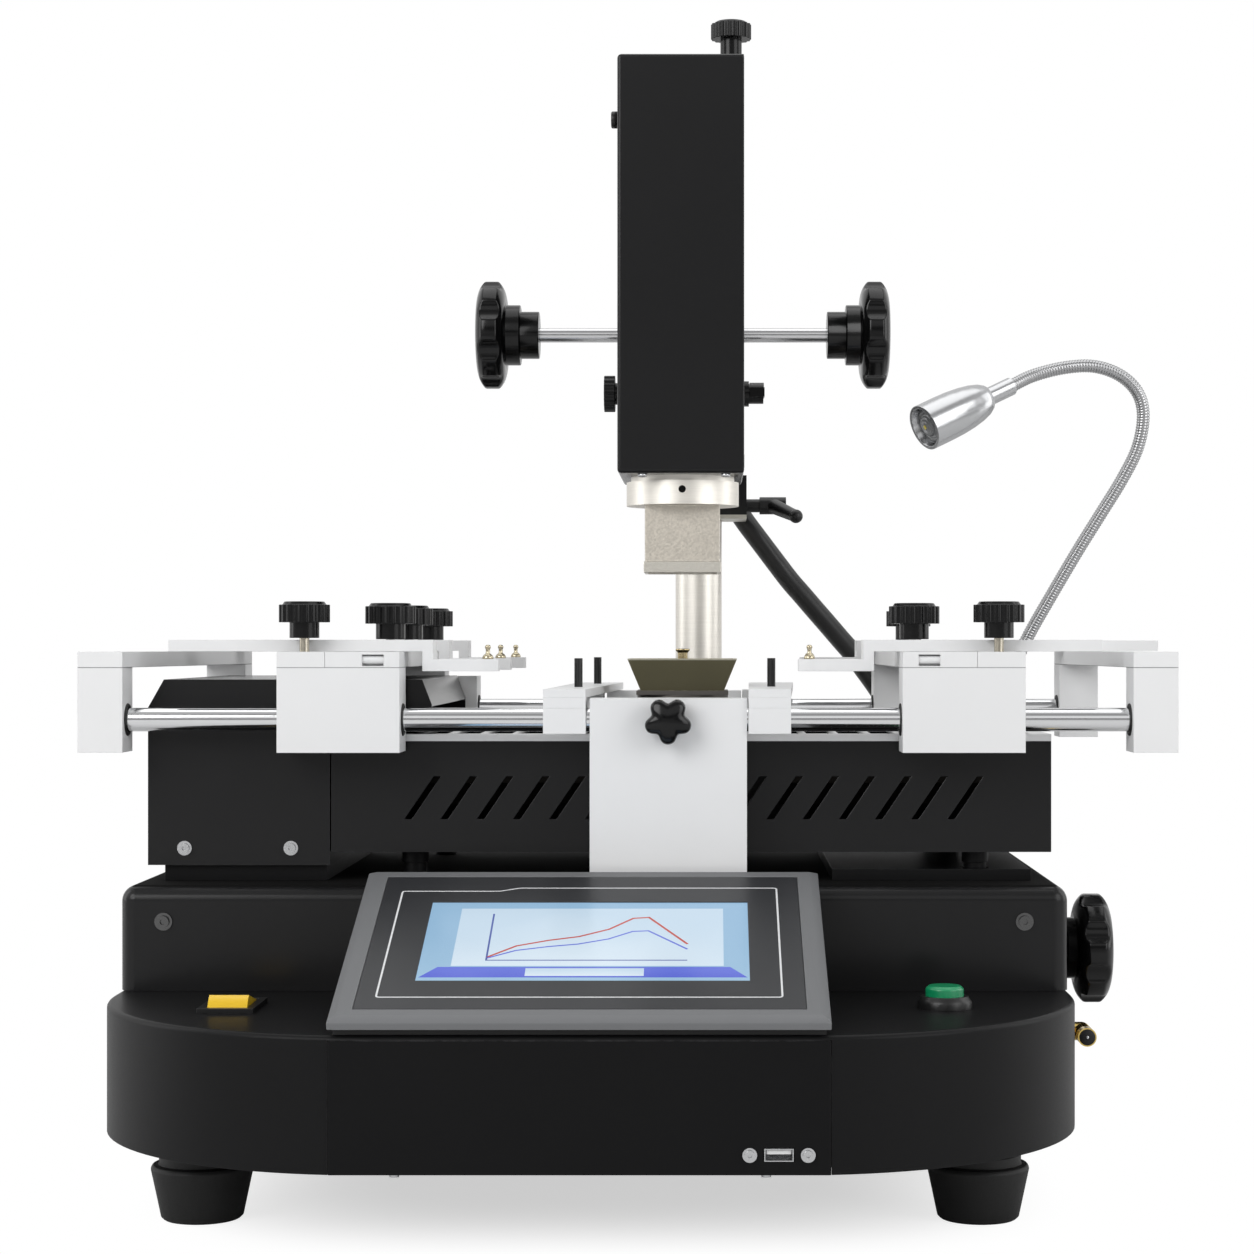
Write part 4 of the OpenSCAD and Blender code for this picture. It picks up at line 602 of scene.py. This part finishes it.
# painted shade: the set-screw hole in the nozzle ring is coloured near black
nickelHoleShade = twoToneMaterial("nickelHoleShade", satinNickel, (41.5, 253, 362.8), (45.9, 259.5, 367.2),
                             (0.005, 0.005, 0.005), 0.5, 0.0)
lockBlack = twoToneMaterial("lockBlack", glossBlack, (-300, 0, 230), (300, 300, 283.95),
                            (0.5, 0.46, 0.38), 0.25, 1.0)
armBlack = twoToneMaterial("armBlack", blackCoat, (0, 380, 355.5), (100, 470, 358.4),
                           (0.6, 0.58, 0.52), 0.35, 1.0)
# painted highlight: the top 0.8 mm of the lower nozzle is a lighter bronze
bronzeRimHighlight = twoToneMaterial("bronzeRimHighlight", bronze, (-100, 100, nozzleTop - 0.8), (200, 400, 300),
                            (0.62, 0.59, 0.48), 0.4, 0.3)
# painted highlight: a lighter band round the top nozzle's lip
steelLipHighlight = twoToneMaterial("steelLipHighlight", nozzleSteel, (0, 200, 315), (90, 350, 326.05),
                           (0.74, 0.71, 0.64), 0.34, 1.0)
# painted shade: the tier's top behind the heater box is near black, rough and without coat
tierCoatTopShade = twoToneMaterial("tierCoatTopShade", blackCoat, (-300, 160, 157.6), (300, 420, 159.6),
                           (0.003, 0.003, 0.003), 0.95, 0.0)
portSteel = twoToneMaterial("portSteel", steel, (60, 0.5, 51.9), (120, 13.6, 54.6),
                            (0.7, 0.7, 0.7), 0.4, 0.0)

finishes = {
    "base_shell": (baseCoat, 0.6), "front_panel": (frontCoat, 0.5), "base_plate": (innerSheet, 0.3),
    "rubber_feet": (footRubber, 0.6), "upper_cover": (tierCoatTopShade, 0.8), "hmi_bezel": (greyBezel, 0.4),
    "hmi_screen": (overlayFilm, 0.15), "switch_bezels": (satinBlack, 0.4), "usb_port": (portSteel, 0.1),
    "panel_screws": (screwSteel, 0.2), "vacuum_fitting": (barbBrass, 0.2), "mount_plates": (baseCoat, 0.4),
    "heater_box": (blackCoat, 0.5), "heater_grid": (silverSheet, 0.3), "ir_heaters": (ceramic, 1.0),
    "fan_housing": (blackCoat, 0.7), "rail_brackets": (whitePaint, 0.5), "column": (satinNickel, 0.4),
    "metal_fittings": (fittingGrey, 0.4), "air_blower": (innerSheet, 0.5), "rocker": (yellowPlastic, 0.5),
    "button_cap": (greenPlastic, 0.4), "lower_heater": (heaterSteel, 0.4),
    "lower_nozzle": (bronzeRimHighlight, 0.3), "support_pin": (brass, 0.25), "fan_rotor": (fanAlu, 0.15),
    "rails": (chrome, 0.6), "end_frames": (seamPaint, 0.6),
    "left_carriage": (carriagePaint, 0.5), "right_carriage": (carriagePaint, 0.5),
    "left_lock_knob": (lockBlack, 0.3), "right_lock_knob": (lockBlack, 0.3),
    "left_support_bar": (barPaint, 0.4), "right_support_bar": (barPaint, 0.4), "swing_arm": (armBlack, 0.5),
    "head_rack": (steel, 0.1), "clamp_lever": (satinBlack, 0.7), "head_housing": (blackCoat, 0.7),
    "nozzle_ring": (nickelHoleShade, 0.4), "top_nozzle": (steelLipHighlight, 0.4), "head_shaft": (shaftSteel, 0.3),
    "top_knob": (glossBlack, 0.25), "left_side_knob": (glossBlack, 0.25),
    "right_wing_knob": (glossBlack, 0.5), "lamp_head": (lampAlu, 0.3),
}
for side, paint, rows in (("left", leftArmPaint, ("front", "middle", "rear")),
                          ("right", rightArmPaint, ("front", "rear"))):
    for row in rows:
        finishes[side + "_arm_" + row] = (paint, 0.4)
        finishes[side + "_knob_" + row] = (glossBlack, 0.3)


def newGeometryGroup(name, *numbers):
    group = bpy.data.node_groups.new(name, "GeometryNodeTree")
    shape = "NodeSocketGeometry"
    group.interface.new_socket("Geometry", in_out="INPUT", socket_type=shape)
    for label in numbers:
        group.interface.new_socket(label, in_out="INPUT", socket_type=number)
    group.interface.new_socket("Geometry", in_out="OUTPUT", socket_type=shape)
    return group, group.nodes.new("NodeGroupInput"), group.nodes.new("NodeGroupOutput")


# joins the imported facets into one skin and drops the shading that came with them
def makeSkinGroup():
    group, start, end = newGeometryGroup("joinedSkin")
    merge = group.nodes.new("GeometryNodeMergeByDistance")
    setPlug(merge, "Distance", 0.00001)
    drop = group.nodes.new("GeometryNodeRemoveAttribute")
    setPlug(drop, "Name", "custom_normal")
    shade = group.nodes.new("GeometryNodeSetShadeSmooth")
    wire(start, 0, merge, "Geometry")
    wire(merge, 0, drop, "Geometry")
    wire(drop, 0, shade, "Geometry")
    wire(shade, 0, end, 0)
    return group


skinGroup = makeSkinGroup()


# marks the edges on a folded housing's outside, above a height, for a wider rounding
def makeOuterGroup():
    group, start, end = newGeometryGroup("outerEdges", "Above")
    hull = group.nodes.new("GeometryNodeConvexHull")
    near = addNode(group, "GeometryNodeProximity", target_element="POINTS")
    outside = addNode(group, "FunctionNodeCompare", data_type="FLOAT", operation="LESS_THAN")
    setPlug(outside, 1, 0.00002)
    place = group.nodes.new("GeometryNodeInputPosition")
    split = group.nodes.new("ShaderNodeSeparateXYZ")
    high = addNode(group, "FunctionNodeCompare", data_type="FLOAT", operation="GREATER_THAN")
    both = addNode(group, "FunctionNodeBooleanMath", operation="AND")
    corner = addNode(group, "GeometryNodeFieldOnDomain", data_type="BOOLEAN", domain="POINT")
    angle = group.nodes.new("GeometryNodeInputMeshEdgeAngle")
    sharp = addNode(group, "FunctionNodeCompare", data_type="FLOAT", operation="GREATER_THAN")
    setPlug(sharp, 1, math.radians(35))
    mark = addNode(group, "FunctionNodeBooleanMath", operation="AND")
    store = addNode(group, "GeometryNodeStoreNamedAttribute", data_type="FLOAT", domain="EDGE")
    setPlug(store, "Name", "bevel_weight_edge")
    wire(start, "Geometry", hull, 0)
    wire(hull, 0, near, 0)
    wire(near, "Distance", outside, 0)
    wire(place, 0, split, 0)
    wire(split, "Z", high, 0)
    wire(start, "Above", high, 1)
    wire(outside, 0, both, 0)
    wire(high, 0, both, 1)
    wire(both, 0, corner, 0)
    wire(angle, "Unsigned Angle", sharp, 0)
    wire(corner, 0, mark, 0)
    wire(sharp, 0, mark, 1)
    wire(start, "Geometry", store, "Geometry")
    wire(mark, 0, store, "Value")
    wire(store, 0, end, 0)
    return group


outerGroup = makeOuterGroup()
# the folded sheets: a rounding in mm, and the height it starts from
folds = {"head_housing": (2.0, 0.0), "base_shell": (2.4, baseHigh.z - 0.001)}


def dressNode(name, mat, soften):  # soften is the edge's width in mm
    obj = nodes[name]
    obj.data.materials.clear()
    obj.data.materials.append(mat)
    skin = obj.modifiers.new("joinedSkin", "NODES")
    skin.node_group = skinGroup
    flat = obj.modifiers.new("flatFaces", "DECIMATE")
    flat.decimate_type = "DISSOLVE"
    flat.angle_limit = math.radians(0.4)
    if name in folds:
        radius, above = folds[name]
        outer = obj.modifiers.new("outerEdges", "NODES")
        outer.node_group = outerGroup
        outer[outerGroup.interface.items_tree["Above"].identifier] = above
        fold = obj.modifiers.new("sheetFold", "BEVEL")
        fold.width = radius / 1000
        fold.segments = 4
        fold.limit_method = "WEIGHT"
        fold.use_clamp_overlap = False
    bevel = obj.modifiers.new("softEdge", "BEVEL")
    bevel.width = soften / 1000
    bevel.segments = 2
    bevel.limit_method = "ANGLE"
    bevel.angle_limit = math.radians(35)
    bevel.use_clamp_overlap = True
    shade = obj.modifiers.new("shading", "WEIGHTED_NORMAL")
    shade.weight = 60


for nodeName, (finish, soften) in finishes.items():
    if nodeName in nodes:
        dressNode(nodeName, finish, soften)
print("nodes dressed")


def meshObject(name, points, faces, mat, body, smooth=True):
    data = bpy.data.meshes.new(name)
    data.from_pydata([tuple(p) for p in points], [], faces)
    data.validate()
    for face in data.polygons:
        face.use_smooth = smooth
    data.materials.append(mat)
    obj = bpy.data.objects.new(name, data)
    bpy.context.scene.collection.objects.link(obj)
    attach(obj, body)
    return obj


# a profile of (radius, height) in mm turned round an axis; trim can reshape its rings
def turnedMesh(profile, place, axis, sides, trim=None):
    turn = Vector((0, 0, 1)).rotation_difference(Vector(axis).normalized()).to_matrix()
    points, faces, rings = [], [], []
    for radius, height in profile:
        ring = []
        count = sides if radius > 0 else 1
        for k in range(count):
            angle = 2 * math.pi * k / sides
            reach = trim(radius, angle) if trim else radius
            local = Vector((reach * math.cos(angle), reach * math.sin(angle), height)) / 1000
            ring.append(len(points))
            points.append(place + turn @ local)
        rings.append(ring)
    for low, high in zip(rings, rings[1:]):
        for k in range(sides):
            a, b = low[k % len(low)], low[(k + 1) % len(low)]
            c, d = high[(k + 1) % len(high)], high[k % len(high)]
            corners = list(dict.fromkeys((a, b, c, d)))
            if len(corners) > 2:
                faces.append(corners)
    return points, faces


def joinMesh(points, faces, more, moreFaces):  # adds a second mesh to the lists of the first
    faces += [tuple(len(points) + i for i in face) for face in moreFaces]
    points += more


# lamp: the neck is a wound steel spiral on a ferrule, the head has a ringed lens with a small chip
lamp = {"base": (222, 436, 158.4), "socket": 14, "thick": 8, "pitch": 1.7, "groove": 0.4, "step": 0.425,
        "sides": 14, "lens": 61, "route": [
            (0, 0, 0), (0, 0, 16), (3, 0, 38), (11, 0, 66), (21, -1, 92), (31, -2, 114), (45, -4, 139),
            (60, -7, 165), (74, -10, 188), (86, -13, 208), (95, -16, 227), (98, -19, 246), (94, -22, 260),
            (83, -25, 270), (67, -28, 275), (49, -30, 274), (30, -33, 269), (16, -40, 262)]}
lampBase = Vector(lamp["base"])
neckPoints = [at(*(lampBase + Vector((x, y, z + lamp["socket"])))) for x, y, z in lamp["route"]]


def evenPoints(points, step):  # the same line with points a fixed step apart
    result = [points[0]]
    left = step
    for a, b in zip(points, points[1:]):
        span = (b - a).length
        run = left
        while run <= span:
            result.append(a.lerp(b, run / span))
            run += step
        left = run - span
    result.append(points[-1])
    return result


def makeNeck():
    line = evenPoints(smoothRoute(neckPoints, 12), lamp["step"] / 1000)
    sides = lamp["sides"]
    points, faces = [], []
    side = Vector((1, 0, 0))
    for i, point in enumerate(line):
        ahead = (line[min(i + 1, len(line) - 1)] - line[max(i - 1, 0)]).normalized()
        side = (side - ahead * side.dot(ahead)).normalized()
        other = ahead.cross(side)
        for k in range(sides):
            angle = 2 * math.pi * k / sides
            wave = 2 * math.pi * i * lamp["step"] / lamp["pitch"] - angle
            radius = lamp["thick"] / 2 - lamp["groove"] * (0.5 - 0.5 * math.cos(wave)) ** 1.5
            points.append(point + (side * math.cos(angle) + other * math.sin(angle)) * radius / 1000)
    for i in range(len(line) - 1):
        for k in range(sides):
            a = i * sides + k
            b = i * sides + (k + 1) % sides
            faces.append((a, b, b + sides, a + sides))
    faces.append(tuple(reversed(range(sides))))
    faces.append(tuple(range(len(points) - sides, len(points))))
    ferrule = [(0, 3.3), (5.2, 3.3), (5.5, 3.7), (5.5, 13), (5.1, 14), (4.4, 15.5), (4.05, 19), (0, 19)]
    joinMesh(points, faces, *turnedMesh(ferrule, at(*lampBase), (0, 0, 1), 32))
    obj = meshObject("lamp_neck", points, faces, neckSteel, "lamp")
    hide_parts("gooseneck")


def makeLens():
    axis = (neckPoints[-1] - neckPoints[-2]).normalized()
    floor = neckPoints[-1] + axis * lamp["lens"] / 1000
    rim = [(9.7, 0.06), (9.5, 1.3), (8.9, 1.5), (8.3, 0.8), (7.6, 0.7), (7.3, 1.8), (6.7, 2.3), (6.1, 2.2)]
    dome = [(6.1, 2.2), (5.6, 3.2), (4.4, 3.6), (3.6, 3.45), (3.0, 3.9), (1.6, 4.1), (0, 4.15)]
    points, faces = turnedMesh(rim + dome, floor, axis, 40)
    meshObject("lamp_lens", points, faces, lensPlastic, "lamp")
    chip = [(0, 4.2), (1.5, 4.2), (1.5, 4.5), (1.2, 4.6), (0, 4.6)]
    points, faces = turnedMesh(chip, floor, axis, 4)
    meshObject("lamp_chip", points, faces, chipYellow, "lamp", smooth=False)


lensPlastic = coatMaterial("lensPlastic", (0.2, 0.205, 0.21), 0.0006, 0.12, cloud=0.5, wearAndHighlight=0.2, coat=0.6)
chipYellow = coatMaterial("chipYellow", (0.75, 0.62, 0.12), 0.0004, 0.3, cloud=0.2, wearAndHighlight=0.1)
makeNeck()
makeLens()
print("lamp made")

# painted shade: a dark folded sheet stands before the preheating box's rear wall and darkens the box's
# inside
shadeLiner = {"left": -130, "right": 228, "y": 379.8, "low": 175.6, "high": 216, "lip": 7, "thick": 0.8}


def makeShadeLiner():
    y, low, high, lip, t = (shadeLiner[key] for key in ("y", "low", "high", "lip", "thick"))
    outline = [(y - lip, low), (y, low), (y, high), (y - lip, high + 3), (y - lip, high + 3 - t),
               (y - t, high - t), (y - t, low + t), (y - lip, low + t)]
    points = [at(x, py, pz) for x in (shadeLiner["left"], shadeLiner["right"]) for py, pz in outline]
    count = len(outline)
    faces = [(i, (i + 1) % count, (i + 1) % count + count, i + count) for i in range(count)]
    faces += [tuple(reversed(range(count))), tuple(range(count, 2 * count))]
    meshObject("heater_shade_sheet", points, faces, innerSheet, "root", smooth=False)


# painted shade: dark rings where the rails enter the carriages and the end posts, standing for the shadowed
# gap round each rail
railShadeRings = {"inner": 6.3, "outer": 8.3, "tall": 0.8, "z": 242.4, "rails": (166, 400),
             "left_clamp": [(-98, 1, 0), (-160, -1, 0), (-79, 1, 1), (-160, -1, 1)],
             "right_clamp": [(156, -1, 0), (218, 1, 0), (156, -1, 1), (218, 1, 1)],
             "board_frame": [(-238.2, 1, 0), (272.7, -1, 0), (-216.2, 1, 1), (265.7, -1, 1)]}


def makeShadeRings():
    low, high, tall = railShadeRings["inner"], railShadeRings["outer"], railShadeRings["tall"]
    profile = [(low, 0), (high, 0), (high, tall - 0.4), (high - 0.4, tall), (low + 0.5, tall),
               (low, tall - 0.3), (low, 0)]
    for body in ("left_clamp", "right_clamp", "board_frame"):
        points, faces = [], []
        for x, side, rail in railShadeRings[body]:
            place = at(x, railShadeRings["rails"][rail], railShadeRings["z"])
            joinMesh(points, faces, *turnedMesh(profile, place, (side, 0, 0), 36))
        meshObject(body + "_shade_rings", points, faces, footRubber, body)


# the head's handwheels: barrel rims with scooped finger grips, a hollow outer face and a stepped hub
wheel = {"lobes": 8, "scoop": 9.6, "scoopAt": 36.9, "soft": 0.35, "sides": 256,
         "neck": 10.5, "hub": 8, "rim": 16, "profile": [
             (4.2, -10.5), (12.6, -10.5), (13, -10.4), (13.2, -10), (13.2, -0.3), (13.4, -0.1), (16.2, 0),
             (16.7, 0.1), (16.9, 0.5), (16.9, 7.6), (17.1, 7.9), (20.5, 8), (22, 8.15), (23.6, 8.5),
             (25.2, 9), (26.8, 9.75), (28.2, 10.65), (29.2, 11.45), (29.8, 12.1), (30, 12.8), (30, 16),
             (30, 19.2), (29.8, 19.9), (29.2, 20.55), (28.2, 21.35), (26.8, 22.25), (25.2, 23),
             (23.6, 23.5), (22.2, 23.85), (21.2, 24), (20.8, 23.9), (20.6, 23.5), (19.4, 19.4), (19, 19.1),
             (12.4, 19), (12, 19.2), (10.4, 23.6), (10, 24), (0, 24)]}


def scoopRadius(radius, angle):  # the rim's radius where a finger grip is cut into it
    step = 2 * math.pi / wheel["lobes"]
    off = (angle % step) - step / 2
    inside = wheel["scoop"] ** 2 - (wheel["scoopAt"] * math.sin(off)) ** 2
    if inside <= 0:
        return radius
    floor = wheel["scoopAt"] * math.cos(off) - math.sqrt(inside)
    gap = radius - floor
    return radius - 0.5 * (gap + math.hypot(gap, wheel["soft"]))


def makeWheels():
    low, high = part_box("handwheels")
    centre = (low + high) / 2
    points, faces = [], []
    for face, side in ((low.x, -1), (high.x, 1)):
        place = Vector((face - side * (wheel["hub"] + wheel["rim"]) / 1000, centre.y, centre.z))
        joinMesh(points, faces,
                 *turnedMesh(wheel["profile"], place, (side, 0, 0), wheel["sides"], scoopRadius))
    obj = meshObject("handwheel_grips", points, faces, wheelBlack, "shaft")
    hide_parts("handwheels")


# the side handwheel: the same rim a little smaller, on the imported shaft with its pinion
sideWheel = {"share": 0.95, "neck": 5, "hub": 5, "rim": 18, "shaftReach": 0.02}


def sideProfile():
    result = []
    for radius, height in wheel["profile"]:
        if height <= 0:
            height *= sideWheel["neck"] / wheel["neck"]
        elif height <= wheel["hub"]:
            height *= sideWheel["hub"] / wheel["hub"]
        else:
            height = sideWheel["hub"] + (height - wheel["hub"]) * sideWheel["rim"] / wheel["rim"]
        result.append((radius * sideWheel["share"], height))
    return result


def shaftShell(node, centre, limit):  # the solids of a node that stay near its axis
    bm = bmesh.new()
    bm.from_mesh(nodes[node].data)
    bmesh.ops.remove_doubles(bm, verts=bm.verts[:], dist=0.00001)
    left = set(bm.verts)
    while left:
        island = [left.pop()]
        for vert in island:
            for edge in vert.link_edges:
                other = edge.other_vert(vert)
                if other in left:
                    left.remove(other)
                    island.append(other)
        if max(math.hypot(v.co.y - centre.y, v.co.z - centre.z) for v in island) > limit:
            bmesh.ops.delete(bm, geom=island, context="VERTS")
    bm.verts.index_update()
    points = [v.co.copy() for v in bm.verts]
    faces = [tuple(v.index for v in face.verts) for face in bm.faces]
    bm.free()
    return points, faces


def makeSideWheel():
    low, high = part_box("side_handwheel")
    share = sideWheel["share"]
    centre = (low + high) / 2
    place = Vector((high.x - (sideWheel["hub"] + sideWheel["rim"]) / 1000, centre.y, centre.z))
    points, faces = turnedMesh(sideProfile(), place, (1, 0, 0), wheel["sides"],
                               lambda radius, angle: scoopRadius(radius / share, angle) * share)
    joinMesh(points, faces, *shaftShell("side_handwheel", centre, sideWheel["shaftReach"]))
    obj = meshObject("side_wheel_grip", points, faces, wheelBlack, "side_wheel")
    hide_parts("side_handwheel")


# the vacuum barb's black end cap with a small rivet
barbCap = {"radius": 4.1, "tall": 0.45, "rivet": 0.85, "x": 250.5}


def makeBarbCap():
    low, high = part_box("vacuum_fitting")
    place = Vector((at(barbCap["x"], 0, 0).x, low.y, (low.z + high.z) / 2))
    radius, tall, rivet = barbCap["radius"], barbCap["tall"], barbCap["rivet"]
    cap = [(0, -0.1), (radius, -0.1), (radius, tall - 0.15), (radius - 0.2, tall), (0, tall)]
    points, faces = turnedMesh(cap, place, (0, -1, 0), 36)
    meshObject("barb_cap", points, faces, footRubber, "root")
    head = [(0, tall - 0.1), (rivet, tall - 0.1), (rivet, tall + 0.1), (rivet * 0.7, tall + 0.3),
            (0, tall + 0.4)]
    points, faces = turnedMesh(head, place, (0, -1, 0), 20)
    meshObject("barb_rivet", points, faces, steel, "root")


# the star knob: five full lobes with a domed face, on a short neck
star = {"mean": 10.6, "wave": 1.6, "peak": -0.25, "sides": 160, "tall": 16,
        "neck": [(0, -8), (2.6, -8), (2.6, 0.2), (6.5, 0.2), (6.5, 4.9)],
        "shell": [(0.64, 4.95), (0.9, 5), (0.97, 5.2), (1, 5.9), (1.01, 7.5), (1, 11.2), (0.985, 12.3),
                  (0.95, 13.1), (0.89, 13.75), (0.8, 14.3), (0.65, 14.95), (0.45, 15.5), (0.25, 15.85),
                  (0.1, 15.97), (0, 16)]}


def starRadius(radius, angle):
    if radius < 2:  # shell radii are shares of the outline
        turn = 5 * (angle + math.pi / 2)
        outline = star["mean"] + star["wave"] * math.cos(turn) + star["peak"] * math.cos(2 * turn)
        return radius * (outline + (star["mean"] - outline) * (1 - min(radius, 1) ** 2))
    return radius


def makeStar():
    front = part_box("star_knob")[0].y
    place = Vector((middle("star_knob").x, front + star["tall"] / 1000, railShadeRings["z"] / 1000))
    points, faces = turnedMesh(star["neck"] + star["shell"], place, (0, -1, 0), star["sides"], starRadius)
    obj = meshObject("star_grip", points, faces, wheelBlack, "star")
    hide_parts("star_knob")


# small screws on the head: one in its left side, two under its front edge
headScrews = [("head_screw_left", (8.8, 262, 566.7), (-1, 0, 0), 4.6, 3.9, "dark"),
              ("head_screw_under_left", (22.3, 247.6, 373), (0, 0, -1), 2.6, 1.9, "bright"),
              ("head_screw_under_right", (67.2, 247.6, 373), (0, 0, -1), 2.6, 1.9, "bright")]


def makeHeadScrews():
    for name, place, axis, radius, tall, tone in headScrews:
        socket = radius * 0.5
        profile = [(0, -0.3), (radius, -0.3), (radius, tall - 0.7), (radius - 0.25, tall - 0.25),
                   (radius - 0.8, tall), (socket + 0.3, tall), (socket, tall - 0.3),
                   (socket, tall * 0.45), (0, tall * 0.35)]
        points, faces = turnedMesh(profile, at(*place), axis, 30)
        mat, slot = (satinBlack, "black_coat") if tone == "dark" else (steel, "steel")
        meshObject(name, points, faces, mat, "head")


makeShadeLiner()
makeShadeRings()
makeWheels()
makeSideWheel()
makeBarbCap()
makeStar()
makeHeadScrews()
print("small pieces made")

# touch panel: printed line on the overlay and a plain menu picture in the window
panel = {"edgeY": -5, "edgeZ": 113.9, "tilt": math.radians(19.3), "lineWide": 0.9, "lineLift": 0.05,
         "line": [(-93, 20.5), (91.5, 20.5), (91.5, 139.5), (-35.5, 139.5), (-45, 135.8), (-93, 135.8)],
         "window": (-77, 37.5, 77, 123.5), "floor": -0.46, "layer": 0.02, "lowerShare": 0.68}


def onPanel(x, y, lift):
    c, s = math.cos(panel["tilt"]), math.sin(panel["tilt"])
    return at(x, panel["edgeY"] + y * c - lift * s, panel["edgeZ"] + y * s + lift * c)


def stripOutline(points, wide, closed):  # both edges of a line of a given width, corners mitred
    inner, outer = [], []
    count = len(points)
    for i in range(count):
        here = Vector(points[i])
        before = Vector(points[i - 1]) if closed or i else here
        after = Vector(points[(i + 1) % count]) if closed or i < count - 1 else here
        first = (here - before).normalized() if before != here else (after - here).normalized()
        second = (after - here).normalized() if after != here else first
        n1 = Vector((-first.y, first.x))
        n2 = Vector((-second.y, second.x))
        mitre = (n1 + n2).normalized()
        mitre *= wide / 2 / max(mitre.dot(n1), 0.3)
        inner.append(here + mitre)
        outer.append(here - mitre)
    return inner, outer


def flatStrip(points, wide, lift, closed):
    inner, outer = stripOutline(points, wide, closed)
    count = len(points)
    verts = [onPanel(p.x, p.y, lift) for p in inner] + [onPanel(p.x, p.y, lift) for p in outer]
    steps = range(count if closed else count - 1)
    faces = [(i, i + count, (i + 1) % count + count, (i + 1) % count) for i in steps]
    return verts, faces


def roundCorners(points, radius):
    result = []
    count = len(points)
    for i in range(count):
        here = Vector(points[i])
        before = (Vector(points[i - 1]) - here).normalized()
        after = (Vector(points[(i + 1) % count]) - here).normalized()
        for t in (0, 0.25, 0.5, 0.75, 1):
            a = here + before * radius
            b = here + after * radius
            result.append(tuple(a * (1 - t) ** 2 + here * 2 * t * (1 - t) + b * t ** 2))
    return result


printWhite = coatMaterial("printWhite", (0.72, 0.73, 0.74), 0.0004, 0.4, cloud=0.06, wearAndHighlight=0.0)


def makePanelLine():
    verts, faces = flatStrip(roundCorners(panel["line"], 1.6), panel["lineWide"], panel["lineLift"], True)
    meshObject("panel_line", verts, faces, printWhite, "root", smooth=False)


def screenMaterial(name, color, edgeColor, level):
    mat, tree, shader = nodeTree(name)
    place = addNode(tree, "ShaderNodeTexCoord")
    split = addNode(tree, "ShaderNodeSeparateXYZ")
    noise = addNode(tree, "ShaderNodeTexNoise")
    setInputs(noise, Scale=14.0, Detail=2.0)
    blend = addNode(tree, "ShaderNodeMath", operation="MULTIPLY_ADD", use_clamp=True)
    setPlug(blend, 1, 0.7)
    mix = addNode(tree, "ShaderNodeMix", data_type="RGBA")
    setPlug(mix, 6, (*color, 1))
    setPlug(mix, 7, (*edgeColor, 1))
    wire(place, "Object", noise, "Vector")
    wire(place, "Generated", split, 0)
    wire(split, "Z", blend, 0)
    wire(noise, "Fac", blend, 2)
    shift = addNode(tree, "ShaderNodeMath", operation="SUBTRACT", use_clamp=True)
    setPlug(shift, 1, 0.45)
    wire(blend, 0, shift, 0)
    wire(shift, 0, mix, "Factor")
    wire(mix, 2, shader, "Emission Color")
    setInputs(shader, Emission_Strength=level, Roughness=0.2)
    setPlug(shader, "Base Color", (0.02, 0.02, 0.02, 1))
    return mat


def makeScreen():
    low, foot, high, head = panel["window"]
    lift, layer = panel["floor"], panel["layer"]
    pale = screenMaterial("screenPale", (0.7, 0.82, 0.92), (0.45, 0.62, 0.78), 0.92)
    sideBlue = screenMaterial("screenSide", (0.33, 0.54, 0.74), (0.26, 0.46, 0.68), 0.9)
    bandBlue = screenMaterial("screenBand", (0.09, 0.13, 0.72), (0.14, 0.2, 0.8), 0.85)
    inkBlue = screenMaterial("screenInk", (0.06, 0.1, 0.4), (0.08, 0.14, 0.5), 0.8)
    warmRed = screenMaterial("screenWarm", (0.6, 0.07, 0.05), (0.66, 0.1, 0.07), 0.8)

    def patch(name, corners, height, mat):
        verts = [onPanel(x, y, lift + height * layer) for x, y in corners]
        meshObject(name, verts, [tuple(range(len(verts)))], mat, "root", smooth=False)

    def rect(x0, y0, x1, y1):
        return [(x0, y0), (x1, y0), (x1, y1), (x0, y1)]

    patch("screen_ground", rect(low, foot, high, head), 0, sideBlue)
    patch("screen_sheet", rect(low + 15, foot + 16, high - 12, head - 7), 1, pale)
    band = [(low + 1, foot + 4), (high - 1, foot + 4), (high - 9, foot + 15), (low + 9, foot + 15)]
    patch("screen_band", band, 1, bandBlue)
    patch("screen_key", rect(-27, foot + 5.5, 28, foot + 13.5), 2, pale)
    graph = {"left": -46, "right": 48, "low": foot + 22, "high": head - 13}
    steps = [(0, 0.06), (0.14, 0.3), (0.3, 0.42), (0.45, 0.5), (0.6, 0.66), (0.72, 0.9), (0.8, 0.92),
             (1, 0.34)]
    wide = graph["right"] - graph["left"]
    tall = graph["high"] - graph["low"]
    heat = [(graph["left"] + wide * u, graph["low"] + tall * v) for u, v in steps]
    lower = [(x, graph["low"] + (y - graph["low"]) * panel["lowerShare"]) for x, y in heat]
    axes = [(graph["left"], graph["high"]), (graph["left"], graph["low"]), (graph["right"], graph["low"])]
    for name, run, thick, mat in (("screen_axes", axes, 0.9, inkBlue), ("screen_heat", heat, 1.3, warmRed),
                                  ("screen_lower", lower, 1.1, bandBlue)):
        verts, faces = flatStrip(run, thick, lift + 2 * layer, False)
        meshObject(name, verts, faces, mat, "root", smooth=False)


makePanelLine()
makeScreen()
print("touch panel drawn")
